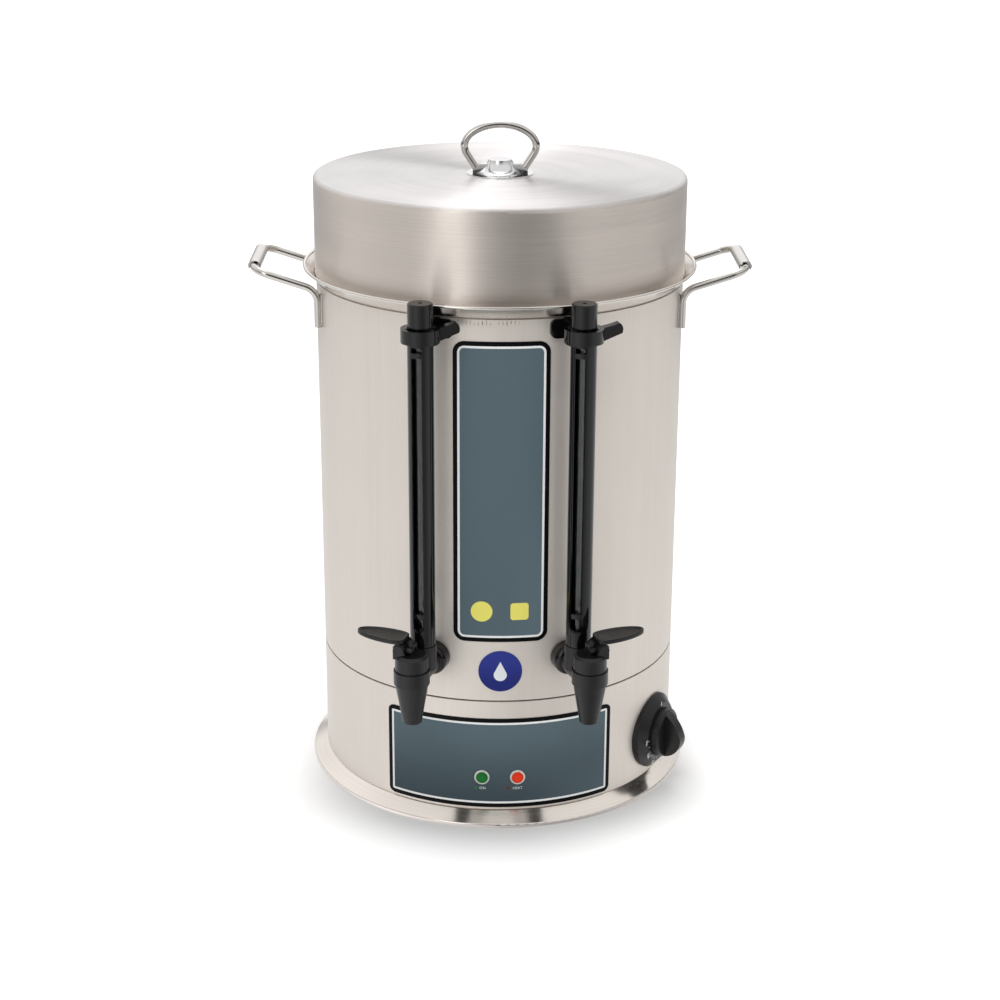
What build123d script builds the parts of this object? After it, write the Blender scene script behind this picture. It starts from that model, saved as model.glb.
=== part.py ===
"""A two-tap tea urn: a steel boiler on a drum base, with a brew pot and strainer under a tall lid.

Millimetres, +Z up, origin on the floor at the vessel's axis. The front, with the taps, faces -Y,
and an azimuth is counted from the front towards +X. Sub-parts that sit on the vessel's side are
made at the front and then turned about Z to their azimuth.
"""

from build123d import *
import os
from math import cos, radians, sin, sqrt, tan

os.makedirs("parts", exist_ok=True)

# ---- sheet and fits ----
sheet = 1.0
lap_gap = 0.05
seat_gap = 0.3
running_gap = 0.06
thread_gap = 0.1

# ---- vessel ----
body_radius = 150.0
base_height = 108.0
tank_height = 315.0
seam_gap = 1.4
lap_depth = 6.0
foot_height = 11.0
foot_flare = 12.0
foot_edge = 3.0
foot_lip = 6.5
foot_crease = 0.5
foot_roll = 1.3
rim_flare = 10.0
rim_rise = 11.0
rim_bead = 1.3
rim_skirt = 7.0
floor_rise = 8.0
floor_flange = 10.0

# ---- base ----
pan_recess = 12.0
pan_flange = 9.0
vent_slot_length = 34.0
vent_slot_width = 6.0
vent_slots = 8
vent_side_gap = 55.0
tie_rod_radius = 3.0
tie_rod_pad = 12.0
nut_height = 5.0

# ---- lid ----
lid_height = 79.4
lid_dish = 1.0
lid_corner = 4.0
lid_overhang = 0.9
boss_radius = 27.0
boss_height = 11.5
boss_top_radius = 9.5
lid_wire = 2.75
loop_foot = 18.4
loop_half_width = 28.5
loop_height = 42.0
lug_width = 9.0
lug_height = 8.0
screw_radius = 2.5

# ---- brew pot and strainer ----
pot_side_gap = 30.0
pot_depth = 126.0
pot_corner = 12.0
steam_hole_radius = 4.0
steam_holes = 8
spigot_radius = 7.5
spigot_length = 15.0
outlet_side_gap = 24.0
basket_side_gap = 12.0
basket_depth = 58.0
basket_lip = 8.0
basket_corner = 10.0
basket_hole_radius = 3.5
pot_loop_wire = 2.2
pot_loop_width = 46.0
pot_loop_height = 24.0
basket_wire = 2.5
basket_arch = 36.0

# ---- boiler fittings ----
element_tube = 4.2
element_side_gap = 60.0
element_height = 19.0
element_elbow = 12.0
element_gap_angle = 18.0
bushing_radius = 7.0
bushing_flange = 10.5
bushing_head = 4.0
bushing_length = 12.0
bushing_nut = 10.5
terminal_pin = 2.0
terminal_length = 8.0
gasket_thickness = 1.2
pocket_radius = 5.0
pocket_length = 34.0
pocket_reach = 70.0
bulb_radius = 3.8
capillary_radius = 1.0
pipe_radius = 6.0
pipe_wall = 1.0
pipe_bend = 18.0
socket_radius = 11.0
socket_depth = 14.0
seal_thickness = 2.4
cutout_radius = 12.0
cutout_height = 11.0
cutout_reach = 66.0
cutout_azimuth = -115.0
block_length = 46.0
block_width = 18.0
block_height = 15.0
block_ways = 4
block_side_gap = 52.0
gland_height = 36.0
gland_thread = 8.0
gland_bore = 4.2
gland_hex = 12.0
gland_dome = 18.0

# ---- thermostat ----
knob_azimuth = 60.0
knob_height = 47.0
bezel_radius = 32.0
bezel_edge = 2.0
bezel_face = 8.2
bezel_bevel = 7.0
knob_radius = 20.5
knob_base = 7.5
grip_height = 28.5
grip_up = 20.5
grip_down = 20.0
grip_width = 10.0
shaft_radius = 3.0
stat_width = 38.0
stat_tall = 30.0
stat_depth = 24.0

# ---- panels and lamps ----
film = 0.4
label_half_angle = 14.4
label_bottom_rise = 52.0
label_top_drop = 17.0
label_corner = 9.0
panel_half_angle = 37.3
panel_bottom = 13.0
panel_top = 92.5
panel_corner = 5.0
disc_radius = 17.5
disc_rise = 26.5
lamp_azimuth = 5.5
lamp_height = 40.4
lamp_lens = 4.8
lens_rise = 1.6
lamp_ring = 6.2
lamp_body_length = 26.0

# ---- taps ----
tap_azimuth = 20.3
tap_rise = 37.0
spout_reach = 50.0
shank_radius = 7.0
shank_inside = 16.0
water_bore = 4.6
barrel_radius = 9.5
gusset_width = 5.0
wall_nut_radius = 13.0
wall_nut_length = 13.0
lock_nut_radius = 12.5
collar_radius = 14.2
collar_height = 11.0
spout_top_radius = 13.2
spout_tip_radius = 7.4
spout_drop = 34.0
spout_bore = 5.2
chamber_radius = 10.6
bonnet_radius = 13.0
bonnet_height = 13.5
bonnet_deck = 4.0
bonnet_bevel = 2.2
seat_radius = 7.6
seat_thickness = 3.5
stem_radius = 2.2
stem_head_radius = 4.3
stem_head = 2.2
pivot_offset = 7.5
pivot_rise = 4.6
pin_radius = 1.5
ear_thickness = 3.0
ear_radius = 4.8
hub_width = 10.0
hub_radius = 3.6
prong_reach = 10.0
prong_width = 2.2
prong_height = 4.4
paddle_length = 34.0
paddle_width = 23.0
paddle_centre = 23.5
paddle_thickness = 3.2
paddle_tilt = 9.0
dish_depth = 1.4
dish_edge = 2.4

# ---- gauge columns ----
column_reach = 26.0
guard_radius = 10.0
boss_step = 0.8
column_boss = 20.0
glass_radius = 6.0
glass_wall = 1.2
window_width = 8.4
window_azimuths = {"left": -19.0, "right": -16.0}
window_foot = 28.5
window_head = 20.0
bridge = 4.0
foot_window = 12.0
head_window = 4.0
cap_radius = 9.7
cap_height = 20.5
vent_radius = 1.7
ring_drop = 2.2
ring_height = 10.6
ring_radius = 15.0
ring_wall = 2.4
tail_length = 28.0
tail_rise = 5.0
tail_thickness = 7.0
tail_back_angle = 15.0
sleeve_wall = 2.0
sleeve_mouth = 50.0
bracket_width = 33.0
bracket_height = 15.0
bracket_plate = 2.5
bracket_corner = 5.0
tongue_width = 13.0
tongue_thickness = 2.6
rivet_radius = 1.6
rivet_head = 3.2

# ---- side handles ----
rod_radius = 3.0
rod_half_span = 45.0
leg_length = 30.0
leg_top_drop = 3.0
handle_reach = 51.3
handle_slope = 18.0
rod_leg_bend = 14.0
rod_corner = 14.0
grip_half_width = 5.2
grip_half_height = 4.4
grip_sheet = 0.9

# ---- levels and radii of the vessel ----
tank_bore = body_radius - sheet
lap_radius = tank_bore - lap_gap
rim_bottom = base_height + tank_height
rim_top = rim_bottom + rim_rise
rim_slope = (rim_rise - lap_gap) / (body_radius + rim_flare - lap_radius)
rim_stretch = sqrt(1 + rim_slope**2)
rivet_height = rim_bottom - rim_skirt - rivet_head - sheet
floor_top = base_height + floor_rise
floor_bottom = floor_top - sheet
pan_radius = lap_radius - sheet - lap_gap
foot_skirt = pan_recess + pan_flange - foot_height + 2 * sheet
vent_circle = body_radius - vent_side_gap

# ---- levels and radii of the lid, the brew pot and the strainer ----
lid_radius = body_radius + lid_overhang
pot_radius = body_radius - pot_side_gap
basket_radius = pot_radius - basket_side_gap
outlet_reach = pot_radius - outlet_side_gap
pot_flange_radius = lid_radius - seat_gap
pot_flange_bottom = (
    rim_bottom + lap_gap + (pot_flange_radius - lap_radius) * rim_slope + (sheet + seat_gap) * rim_stretch
)
pot_flange_top = pot_flange_bottom + sheet
pot_bottom = pot_flange_top - pot_depth
flange_middle = (pot_radius + basket_lip + lid_radius - sheet) / 2
basket_lip_bottom = pot_flange_top + seat_gap
arch_foot = basket_radius - sheet - basket_wire - lap_gap
lid_bottom = pot_flange_top + seat_gap
lid_top = lid_bottom + lid_height
crown_top = lid_top - lid_dish
loop_top = lid_top + loop_height
loop_shoulder = crown_top + 0.62 * loop_height
loop_points = (
    (-loop_foot, 0, crown_top + lid_wire),
    (-loop_half_width, 0, loop_shoulder),
    (-0.6 * loop_half_width, 0, loop_top),
    (0.6 * loop_half_width, 0, loop_top),
    (loop_half_width, 0, loop_shoulder),
    (loop_foot, 0, crown_top + lid_wire),
)
loop_radii = (4 * lid_wire, 6 * lid_wire, 6 * lid_wire, 4 * lid_wire)

# ---- levels and radii of the taps and the gauge columns ----
tap_height = base_height + tap_rise
shank_end = body_radius - shank_inside
spout_radius = body_radius + spout_reach
column_radius = body_radius + column_reach
wall_nut_back = body_radius + sheet
barrel_back = wall_nut_back + wall_nut_length
collar_bottom = tap_height - 3 * sheet
chamber_top = collar_bottom + collar_height
bonnet_top = chamber_top + bonnet_height
pivot_height = bonnet_top + pivot_rise
seat_level = collar_bottom + sheet + seat_gap
head_bottom = pivot_height + prong_height / 2 + seat_gap
boss_top = tap_height + column_boss
ring_top = rim_bottom - ring_drop
ring_bottom = ring_top - ring_height
ring_bore = ring_radius - ring_wall
sleeve_bore = ring_bore - seat_gap - sleeve_wall
guard_top = ring_top - 1.5 * sheet
glass_bottom = tap_height + water_bore + 1.5 * sheet
glass_top = guard_top + 0.7 * cap_height
window_low = boss_top + window_foot
window_high = guard_top - window_head
foot_window_low = window_low - bridge - foot_window + window_width / 2
window_spans = (
    (foot_window_low, window_low - bridge),
    (window_low, window_high),
    (window_high + bridge, window_high + bridge + head_window),
)
bracket_middle = rim_bottom - seat_gap - bracket_height / 2
tongue_bottom = ring_top + seat_gap

# ---- levels and radii of the boiler's fittings ----
element_level = floor_top + element_height
element_ring = body_radius - element_side_gap
block_reach = body_radius - block_side_gap
gap_turn = radians(90 + element_gap_angle)
ring_way = Vector(-sin(gap_turn), cos(gap_turn), 0)
ring_start = Vector(element_ring * cos(gap_turn), element_ring * sin(gap_turn), element_level)
leg_top_point = ring_start - ring_way * element_elbow - Vector(0, 0, element_elbow)
element_feet = ((leg_top_point.X, leg_top_point.Y), (-leg_top_point.X, leg_top_point.Y))
socket_top = pot_bottom - 3 * sheet
seal_radius = socket_radius - 1.5 * sheet
pocket_bore = bulb_radius + seat_gap
bezel_front = body_radius + bezel_face
knob_back = bezel_front - sheet + seat_gap
bush_radius = shaft_radius + 2 * sheet
spindle_grip = 0.6 * (grip_height - bezel_face)
lamp_barrel = lamp_lens - 0.6 * sheet
label_bottom = base_height + label_bottom_rise
label_top = rim_bottom - label_top_drop
film_bore = body_radius + 2 * lap_gap
film_face = film_bore + film

# ---- levels and places of the side handles ----
leg_x = sqrt((body_radius + rod_radius + lap_gap) ** 2 - rod_half_span**2)
leg_top = rim_bottom - leg_top_drop
leg_bottom = leg_top - leg_length
bar_x = leg_x + handle_reach
bar_height = leg_top + handle_reach * tan(radians(handle_slope))

handed = (("left", -1), ("right", 1))
upward = (Align.CENTER, Align.CENTER, Align.MIN)
downward = (Align.CENTER, Align.CENTER, Align.MAX)


def on_side(azimuth, radius, height):
    """A place on the vessel's side, with its own X along the wall, Y up and Z outward."""
    return Location((0, 0, height), (0, 0, azimuth)) * Location((0, -radius, 0), (90, 0, 0))


def point_at(azimuth, radius, height):
    """The point at an azimuth, a distance from the axis and a height."""
    angle = radians(azimuth)
    return (radius * sin(angle), -radius * cos(angle), height)


def chord(half_angle):
    """The straight width, on the wall, of a span of half_angle each way."""
    return 2 * body_radius * sin(radians(half_angle))


def flat_seat(half_width):
    """How far from the axis a flat piece of that half width meets the wall's inside."""
    return sqrt(tank_bore**2 - half_width**2)


def turned(part, azimuth):
    """A part made at the front, turned about the vessel's axis to its azimuth."""
    return part.rotate(Axis.Z, azimuth)


lock_nut_face = flat_seat(lock_nut_radius) - gasket_thickness
stat_face = flat_seat(stat_width / 2) - seat_gap
capillary_level = (floor_bottom + knob_height + stat_tall / 2) / 2

# =====================================================================
# Vessel: base drum, tank, rim
# =====================================================================

with BuildPart() as tank_wall:
    with BuildSketch(Plane.XY.offset(base_height + seam_gap / 2)):
        Circle(body_radius)
        Circle(tank_bore, mode=Mode.SUBTRACT)
    extrude(amount=tank_height - seam_gap / 2)
    for _, side in handed:
        with Locations(on_side(side * tap_azimuth, body_radius, tap_height)):
            Cylinder(shank_radius + seat_gap, 4 * sheet, mode=Mode.SUBTRACT)
        with Locations(on_side(side * tap_azimuth, body_radius, rivet_height)):
            Cylinder(rivet_radius + running_gap, 4 * sheet, mode=Mode.SUBTRACT)
tank_wall.part.label = "tank_wall"
export_step(tank_wall.part, "parts/tank_wall.step")

# The rim is a flared collar: its skirt laps inside the tank wall and its edge is rolled.
with BuildPart() as rim_collar:
    with BuildSketch(Plane.XZ):
        with BuildLine():
            Polyline(
                (lap_radius - sheet, rim_bottom - rim_skirt),
                (lap_radius, rim_bottom - rim_skirt),
                (lap_radius, rim_bottom + lap_gap),
                (body_radius + rim_flare, rim_top),
                (body_radius + rim_flare, rim_top + sheet * rim_stretch),
                (lap_radius - sheet, rim_bottom + lap_gap + sheet * (rim_stretch - rim_slope)),
                close=True,
            )
        make_face()
        with Locations((body_radius + rim_flare - rim_bead / 2, rim_top)):
            Circle(rim_bead)
    revolve(axis=Axis.Z)
rim_collar.part.label = "rim_collar"
export_step(rim_collar.part, "parts/rim_collar.step")

# The floor is pressed with an upturned flange, and a thermometer pocket is brazed into it.
with BuildPart() as tank_floor:
    with BuildSketch(Plane.XZ):
        with BuildLine():
            FilletPolyline(
                (0, floor_bottom),
                (lap_radius, floor_bottom),
                (lap_radius, floor_top + floor_flange),
                radius=4 * sheet,
            )
            offset(amount=sheet, side=Side.LEFT)
        make_face()
    revolve(axis=Axis.Z)
    with Locations(point_at(knob_azimuth, pocket_reach, floor_bottom)):
        Cylinder(pocket_radius, pocket_length, align=upward)
        Cylinder(pocket_bore, pocket_length - sheet, align=upward, mode=Mode.SUBTRACT)
    for foot in element_feet:
        with Locations((*foot, floor_top)):
            Cylinder(bushing_radius + thread_gap, 4 * sheet, mode=Mode.SUBTRACT)
tank_floor.part.label = "tank_floor"
export_step(tank_floor.part, "parts/tank_floor.step")

# The base drum's top edge is joggled inwards to carry the tank wall.
with BuildPart() as base_shell:
    with BuildSketch(Plane.XZ):
        with BuildLine():
            Polyline(
                (tank_bore, foot_height + lap_gap),
                (body_radius, foot_height + lap_gap),
                (body_radius, base_height - seam_gap / 2),
                (lap_radius, base_height - seam_gap / 2),
                (lap_radius, base_height + lap_depth),
                (lap_radius - sheet, base_height + lap_depth),
                (lap_radius - sheet, base_height - lap_depth),
                (tank_bore, base_height - lap_depth),
                close=True,
            )
        make_face()
    revolve(axis=Axis.Z)
    with Locations(on_side(knob_azimuth, body_radius, knob_height)):
        Cylinder(bush_radius + seat_gap, 4 * sheet, mode=Mode.SUBTRACT)
    with Locations(on_side(180, body_radius, gland_height)):
        Cylinder(gland_thread + seat_gap, 4 * sheet, mode=Mode.SUBTRACT)
    for _, side in handed:
        with Locations(on_side(side * lamp_azimuth, body_radius, lamp_height)):
            Cylinder(lamp_barrel + seat_gap, 4 * sheet, mode=Mode.SUBTRACT)
base_shell.part.label = "base_shell"
export_step(base_shell.part, "parts/base_shell.step")

# The foot flares out from the drum and turns under to a flat lip.
with BuildPart() as foot_ring:
    with BuildSketch(Plane.XZ):
        with BuildLine():
            FilletPolyline(
                (lap_radius, foot_height + foot_skirt),
                (lap_radius, foot_height - lap_gap),
                (body_radius + foot_flare, foot_edge),
                (body_radius + foot_flare, 0),
                (body_radius + foot_flare - foot_lip, 0),
                radius=[foot_crease, foot_roll, foot_roll],
            )
            offset(amount=sheet, side=Side.RIGHT)
        make_face()
    revolve(axis=Axis.Z)
foot_ring.part.label = "foot_ring"
export_step(foot_ring.part, "parts/foot_ring.step")

with BuildPart() as base_pan:
    with BuildSketch(Plane.XZ):
        with BuildLine():
            FilletPolyline(
                (0, pan_recess),
                (pan_radius, pan_recess),
                (pan_radius, pan_recess + pan_flange),
                radius=3 * sheet,
            )
            offset(amount=sheet, side=Side.LEFT)
        make_face()
    revolve(axis=Axis.Z)
    with BuildSketch(Plane.XY.offset(pan_recess)):
        Circle(tie_rod_radius + seat_gap)
        with PolarLocations(vent_circle, vent_slots, start_angle=180 / vent_slots):
            SlotOverall(vent_slot_length, vent_slot_width)
    extrude(amount=sheet, mode=Mode.SUBTRACT)
base_pan.part.label = "base_pan"
export_step(base_pan.part, "parts/base_pan.step")

# A stud welded under the tank floor draws the pan and the drum up against the tank.
with BuildPart() as tie_rod:
    with Locations((0, 0, floor_bottom)):
        Cylinder(tie_rod_pad, 2 * sheet, align=downward)
        Cylinder(tie_rod_radius, floor_bottom - pan_recess + nut_height + sheet, align=downward)
tie_rod.part.label = "tie_rod"
export_step(tie_rod.part, "parts/tie_rod.step")

# One nut pulls the pan up on the stud, the other holds the cord's gland in the wall.
with BuildPart() as base_nuts:
    with BuildSketch(Plane.XY.offset(pan_recess)):
        RegularPolygon(2 * tie_rod_radius, 6)
        Circle(tie_rod_radius + thread_gap, mode=Mode.SUBTRACT)
    extrude(amount=-nut_height)
    with BuildSketch(Plane(on_side(180, flat_seat(gland_hex), gland_height))):
        RegularPolygon(gland_hex, 6)
        Circle(gland_thread + thread_gap, mode=Mode.SUBTRACT)
    extrude(amount=-nut_height)
base_nuts.part.label = "base_nuts"
export_step(base_nuts.part, "parts/base_nuts.step")

# =====================================================================
# Boiler fittings and wiring pieces inside the drum
# =====================================================================

# The element is one round loop of tube, and both its legs leave through the floor.
with BuildPart() as heating_element:
    with BuildLine() as element_path:
        leg = Line((leg_top_point.X, leg_top_point.Y, floor_top), leg_top_point)
        elbow = TangentArc(leg @ 1, ring_start, tangent=leg % 1)
        CenterArc((0, 0, element_level), element_ring, 90 + element_gap_angle, 360 - 2 * element_gap_angle)
        mirror(about=Plane.YZ, objects=[elbow, leg])
    with BuildSketch(Plane(origin=element_path.line @ 0, z_dir=element_path.line % 0)):
        Circle(element_tube)
    sweep(path=element_path.line)
    for foot in element_feet:
        with Locations((*foot, floor_top + gasket_thickness)):
            Cylinder(bushing_flange, bushing_head, align=upward)
            Cylinder(bushing_radius, bushing_length, align=downward)
            Cylinder(terminal_pin, bushing_length + terminal_length, align=downward)
heating_element.part.label = "heating_element"
export_step(heating_element.part, "parts/heating_element.step")

# Gaskets under the element's bushings, and the ring that seals the brew pot's spigot.
with BuildPart() as boiler_seals:
    with BuildSketch(Plane.XY.offset(floor_top)):
        with Locations(*element_feet):
            Circle(bushing_flange)
            Circle(bushing_radius + thread_gap, mode=Mode.SUBTRACT)
    extrude(amount=gasket_thickness)
    with BuildSketch(Plane.XY.offset(socket_top - seal_thickness)):
        with Locations(point_at(tap_azimuth, outlet_reach, 0)):
            Circle(seal_radius - lap_gap)
            Circle(spigot_radius + thread_gap, mode=Mode.SUBTRACT)
    extrude(amount=seal_thickness)
boiler_seals.part.label = "boiler_seals"
export_step(boiler_seals.part, "parts/boiler_seals.step")

with BuildPart() as element_nuts:
    with BuildSketch(Plane.XY.offset(floor_bottom)):
        with Locations(*element_feet):
            RegularPolygon(bushing_nut, 6)
            Circle(bushing_radius + thread_gap, mode=Mode.SUBTRACT)
    extrude(amount=-nut_height)
element_nuts.part.label = "element_nuts"
export_step(element_nuts.part, "parts/element_nuts.step")

# The sensing bulb stands in the floor's pocket, and its capillary loops back to the thermostat.
with BuildPart() as thermostat_bulb:
    with Locations((0, -pocket_reach, floor_bottom + sheet)):
        Cylinder(bulb_radius, pocket_length - 3 * sheet, align=upward)
    with BuildLine() as capillary:
        FilletPolyline(
            (0, -stat_face + stat_depth / 2, knob_height + stat_tall / 2),
            (0, -stat_face + stat_depth / 2, capillary_level),
            (0, -pocket_reach, capillary_level),
            (0, -pocket_reach, floor_bottom + 2 * sheet),
            radius=8 * capillary_radius,
        )
    with BuildSketch(Plane(origin=capillary.line @ 0, z_dir=capillary.line % 0)):
        Circle(capillary_radius)
    sweep(path=capillary.line)
bulb_piece = turned(thermostat_bulb.part, knob_azimuth)
bulb_piece.label = "thermostat_bulb"
export_step(bulb_piece, "parts/thermostat_bulb.step")

with BuildPart() as thermostat_body:
    with Locations((0, -stat_face, knob_height)):
        Box(stat_width, stat_depth, stat_tall, align=(Align.CENTER, Align.MIN, Align.CENTER))
    fillet(thermostat_body.edges().filter_by(Axis.Y), 2 * sheet)
    with Locations((0, -stat_face, knob_height)):
        Cylinder(bush_radius, bezel_front - stat_face - sheet, rotation=(90, 0, 0), align=upward)
        Cylinder(
            shaft_radius + running_gap,
            bezel_front - stat_face,
            rotation=(90, 0, 0),
            align=upward,
            mode=Mode.SUBTRACT,
        )
    with Locations(*[(x, -stat_face + stat_depth, knob_height) for x in (-stat_width / 4, stat_width / 4)]):
        Box(6 * sheet, 7 * sheet, sheet, align=(Align.CENTER, Align.MIN, Align.CENTER))
stat_piece = turned(thermostat_body.part, knob_azimuth)
stat_piece.label = "thermostat_body"
export_step(stat_piece, "parts/thermostat_body.step")

with BuildPart() as safety_cutout:
    with Locations(point_at(cutout_azimuth, cutout_reach, floor_bottom)):
        Cylinder(cutout_radius, cutout_height, align=downward)
        Cylinder(cutout_radius + 3 * sheet, 1.5 * sheet, align=downward)
    with Locations(point_at(cutout_azimuth, cutout_reach, floor_bottom - cutout_height)):
        with GridLocations(cutout_radius, 0, 2, 1):
            Box(sheet, 6 * sheet, 8 * sheet, align=downward)
safety_cutout.part.label = "safety_cutout"
export_step(safety_cutout.part, "parts/safety_cutout.step")

with BuildPart() as terminal_block:
    with Locations((0, block_reach, pan_recess + sheet)):
        Box(block_length, block_width, block_height, align=upward)
    with BuildSketch(Plane.XY.offset(pan_recess + sheet + block_height)):
        with Locations((0, block_reach)):
            with GridLocations(block_length / block_ways, 0, block_ways, 1):
                Rectangle(block_length / block_ways - 3 * sheet, block_width - 4 * sheet)
    extrude(amount=-block_height / 2, mode=Mode.SUBTRACT)
terminal_block.part.label = "terminal_block"
export_step(terminal_block.part, "parts/terminal_block.step")

with BuildPart() as cord_gland:
    with BuildSketch(Plane.YZ):
        with BuildLine():
            Polyline(
                (tank_bore - 8 * sheet, gland_height + gland_bore),
                (tank_bore - 8 * sheet, gland_height + gland_thread),
                (body_radius + lap_gap, gland_height + gland_thread),
                (body_radius + lap_gap, gland_height + gland_hex),
                (body_radius + gland_dome / 2, gland_height + gland_hex),
                (body_radius + gland_dome, gland_height + gland_bore + 2 * sheet),
                (body_radius + gland_dome, gland_height + gland_bore),
                close=True,
            )
        make_face()
    revolve(axis=Axis((0, 0, gland_height), (0, 1, 0)))
cord_gland.part.label = "cord_gland"
export_step(cord_gland.part, "parts/cord_gland.step")

# =====================================================================
# Thermostat knob and its fixed dial
# =====================================================================

with BuildPart() as dial_bezel:
    with BuildSketch(Plane.YZ):
        with BuildLine():
            Polyline(
                (-(body_radius - 6 * sheet), knob_height),
                (-(body_radius - 6 * sheet), knob_height + bezel_radius),
                (-(body_radius + bezel_edge), knob_height + bezel_radius),
                (-bezel_front, knob_height + bezel_radius - bezel_bevel),
                (-bezel_front, knob_height),
                close=True,
            )
        make_face()
    revolve(axis=Axis((0, 0, knob_height), (0, -1, 0)))
    Cylinder(body_radius + seat_gap / 2, 4 * knob_height, mode=Mode.SUBTRACT)
    with Locations((0, -bezel_front, knob_height)):
        Cylinder(knob_radius + seat_gap, 2 * sheet, rotation=(90, 0, 0), mode=Mode.SUBTRACT)
    with Locations((0, -body_radius, knob_height)):
        Cylinder(bush_radius + seat_gap, 8 * bezel_face, rotation=(90, 0, 0), mode=Mode.SUBTRACT)
bezel_piece = turned(dial_bezel.part, knob_azimuth)
bezel_piece.label = "dial_bezel"
export_step(bezel_piece, "parts/dial_bezel.step")

# The grip is a blade: a hump in side view, pointed like an arrow in front view.
with BuildPart() as thermostat_knob:
    with Locations((0, -knob_back, knob_height)):
        Cylinder(knob_radius, knob_base, rotation=(90, 0, 0), align=upward)
    chamfer(thermostat_knob.faces().sort_by(Axis.Y)[0].edges(), 1.2 * sheet)
    with BuildSketch(Plane.YZ):
        with BuildLine():
            grip_base = -(knob_back + knob_base / 2)
            top_point = (grip_base, knob_height + grip_up)
            low_point = (grip_base, knob_height - grip_down)
            ThreePointArc(
                top_point,
                (-(body_radius + 0.82 * grip_height), knob_height + 0.45 * grip_up),
                (-(body_radius + grip_height), knob_height - 0.1 * grip_down),
            )
            ThreePointArc(
                (-(body_radius + grip_height), knob_height - 0.1 * grip_down),
                (-(body_radius + 0.84 * grip_height), knob_height - 0.75 * grip_down),
                low_point,
            )
            Line(low_point, top_point)
        make_face()
    extrude(amount=grip_width / 2, both=True)
    with BuildSketch(Plane.XZ.offset(knob_back)):
        with Locations((0, knob_height)):
            Circle(knob_radius)
        with BuildLine():
            Line((-grip_width / 2, knob_height - grip_down), (-grip_width / 2, knob_height + 0.3 * grip_up))
            Line((-grip_width / 2, knob_height + 0.3 * grip_up), (0, knob_height + grip_up + sheet))
            Line((0, knob_height + grip_up + sheet), (grip_width / 2, knob_height + 0.3 * grip_up))
            Line((grip_width / 2, knob_height + 0.3 * grip_up), (grip_width / 2, knob_height - grip_down))
            Line((grip_width / 2, knob_height - grip_down), (-grip_width / 2, knob_height - grip_down))
        make_face()
    extrude(amount=grip_height, mode=Mode.INTERSECT)
    with Locations((0, -knob_back, knob_height)):
        Cylinder(
            shaft_radius + lap_gap,
            spindle_grip,
            rotation=(90, 0, 0),
            align=upward,
            mode=Mode.SUBTRACT,
        )
knob_piece = turned(thermostat_knob.part, knob_azimuth)
knob_piece.label = "thermostat_knob"
export_step(knob_piece, "parts/thermostat_knob.step")

# The spindle turns with the knob, in the thermostat's bush.
with BuildPart() as spindle:
    with Locations((0, -(stat_face + sheet), knob_height)):
        Cylinder(
            shaft_radius,
            knob_back + spindle_grip - stat_face - 2 * sheet,
            rotation=(90, 0, 0),
            align=upward,
        )
spindle_piece = turned(spindle.part, knob_azimuth)
spindle_piece.label = "thermostat_spindle"
export_step(spindle_piece, "parts/thermostat_spindle.step")

# =====================================================================
# Printed films and lamps
# =====================================================================


def wrapped_film(outline):
    """A thin printed film: an outline drawn in front view and wrapped on the wall."""
    with BuildPart() as film_part:
        extrude(outline, amount=body_radius)
        with BuildSketch():
            Circle(film_face)
            Circle(film_bore, mode=Mode.SUBTRACT)
        extrude(amount=rim_bottom, mode=Mode.INTERSECT)
    return film_part.part


with BuildSketch(Plane.XZ.offset(body_radius / 2)) as label_outline:
    with Locations((0, (label_bottom + label_top) / 2)):
        RectangleRounded(chord(label_half_angle), label_top - label_bottom, label_corner)
with BuildSketch(Plane.XZ.offset(body_radius / 2)) as panel_outline:
    with Locations((0, (panel_bottom + panel_top) / 2)):
        RectangleRounded(chord(panel_half_angle), panel_top - panel_bottom, panel_corner)
    with Locations((0, lamp_height)):
        with GridLocations(chord(lamp_azimuth), 0, 2, 1):
            Circle(lamp_barrel + seat_gap, mode=Mode.SUBTRACT)
with BuildSketch(Plane.XZ.offset(body_radius / 2)) as disc_outline:
    with Locations((0, base_height + disc_rise)):
        Circle(disc_radius)

for film_name, outline in (
    ("front_label", label_outline),
    ("control_panel", panel_outline),
    ("round_sticker", disc_outline),
):
    film_piece = wrapped_film(outline.sketch)
    film_piece.label = film_name
    export_step(film_piece, f"parts/{film_name}.step")

with BuildPart() as lamp_bodies:
    for _, side in handed:
        with Locations(on_side(side * lamp_azimuth, film_face + lap_gap, lamp_height)):
            Cylinder(lamp_ring, sheet, align=upward)
            Cylinder(lamp_barrel, lamp_body_length, align=downward)
lamp_bodies.part.label = "lamp_bodies"
export_step(lamp_bodies.part, "parts/lamp_bodies.step")

for lamp_name, side in (("power_lamp", -1), ("heating_lamp", 1)):
    with BuildPart() as lamp:
        with Locations(on_side(side * lamp_azimuth, film_face + lap_gap + sheet, lamp_height)):
            Cylinder(lamp_lens, lens_rise, align=upward)
        fillet(lamp.faces().sort_by(Axis.Y)[0].edges(), 0.8 * lens_rise)
    lamp.part.label = lamp_name
    export_step(lamp.part, f"parts/{lamp_name}.step")

# =====================================================================
# Taps
# =====================================================================


def as_handed(part, side):
    """The right-hand piece as made, or its mirror image for the left, turned to the tap's azimuth."""
    return turned(part if side > 0 else part.mirror(Plane.YZ), side * tap_azimuth)


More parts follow.
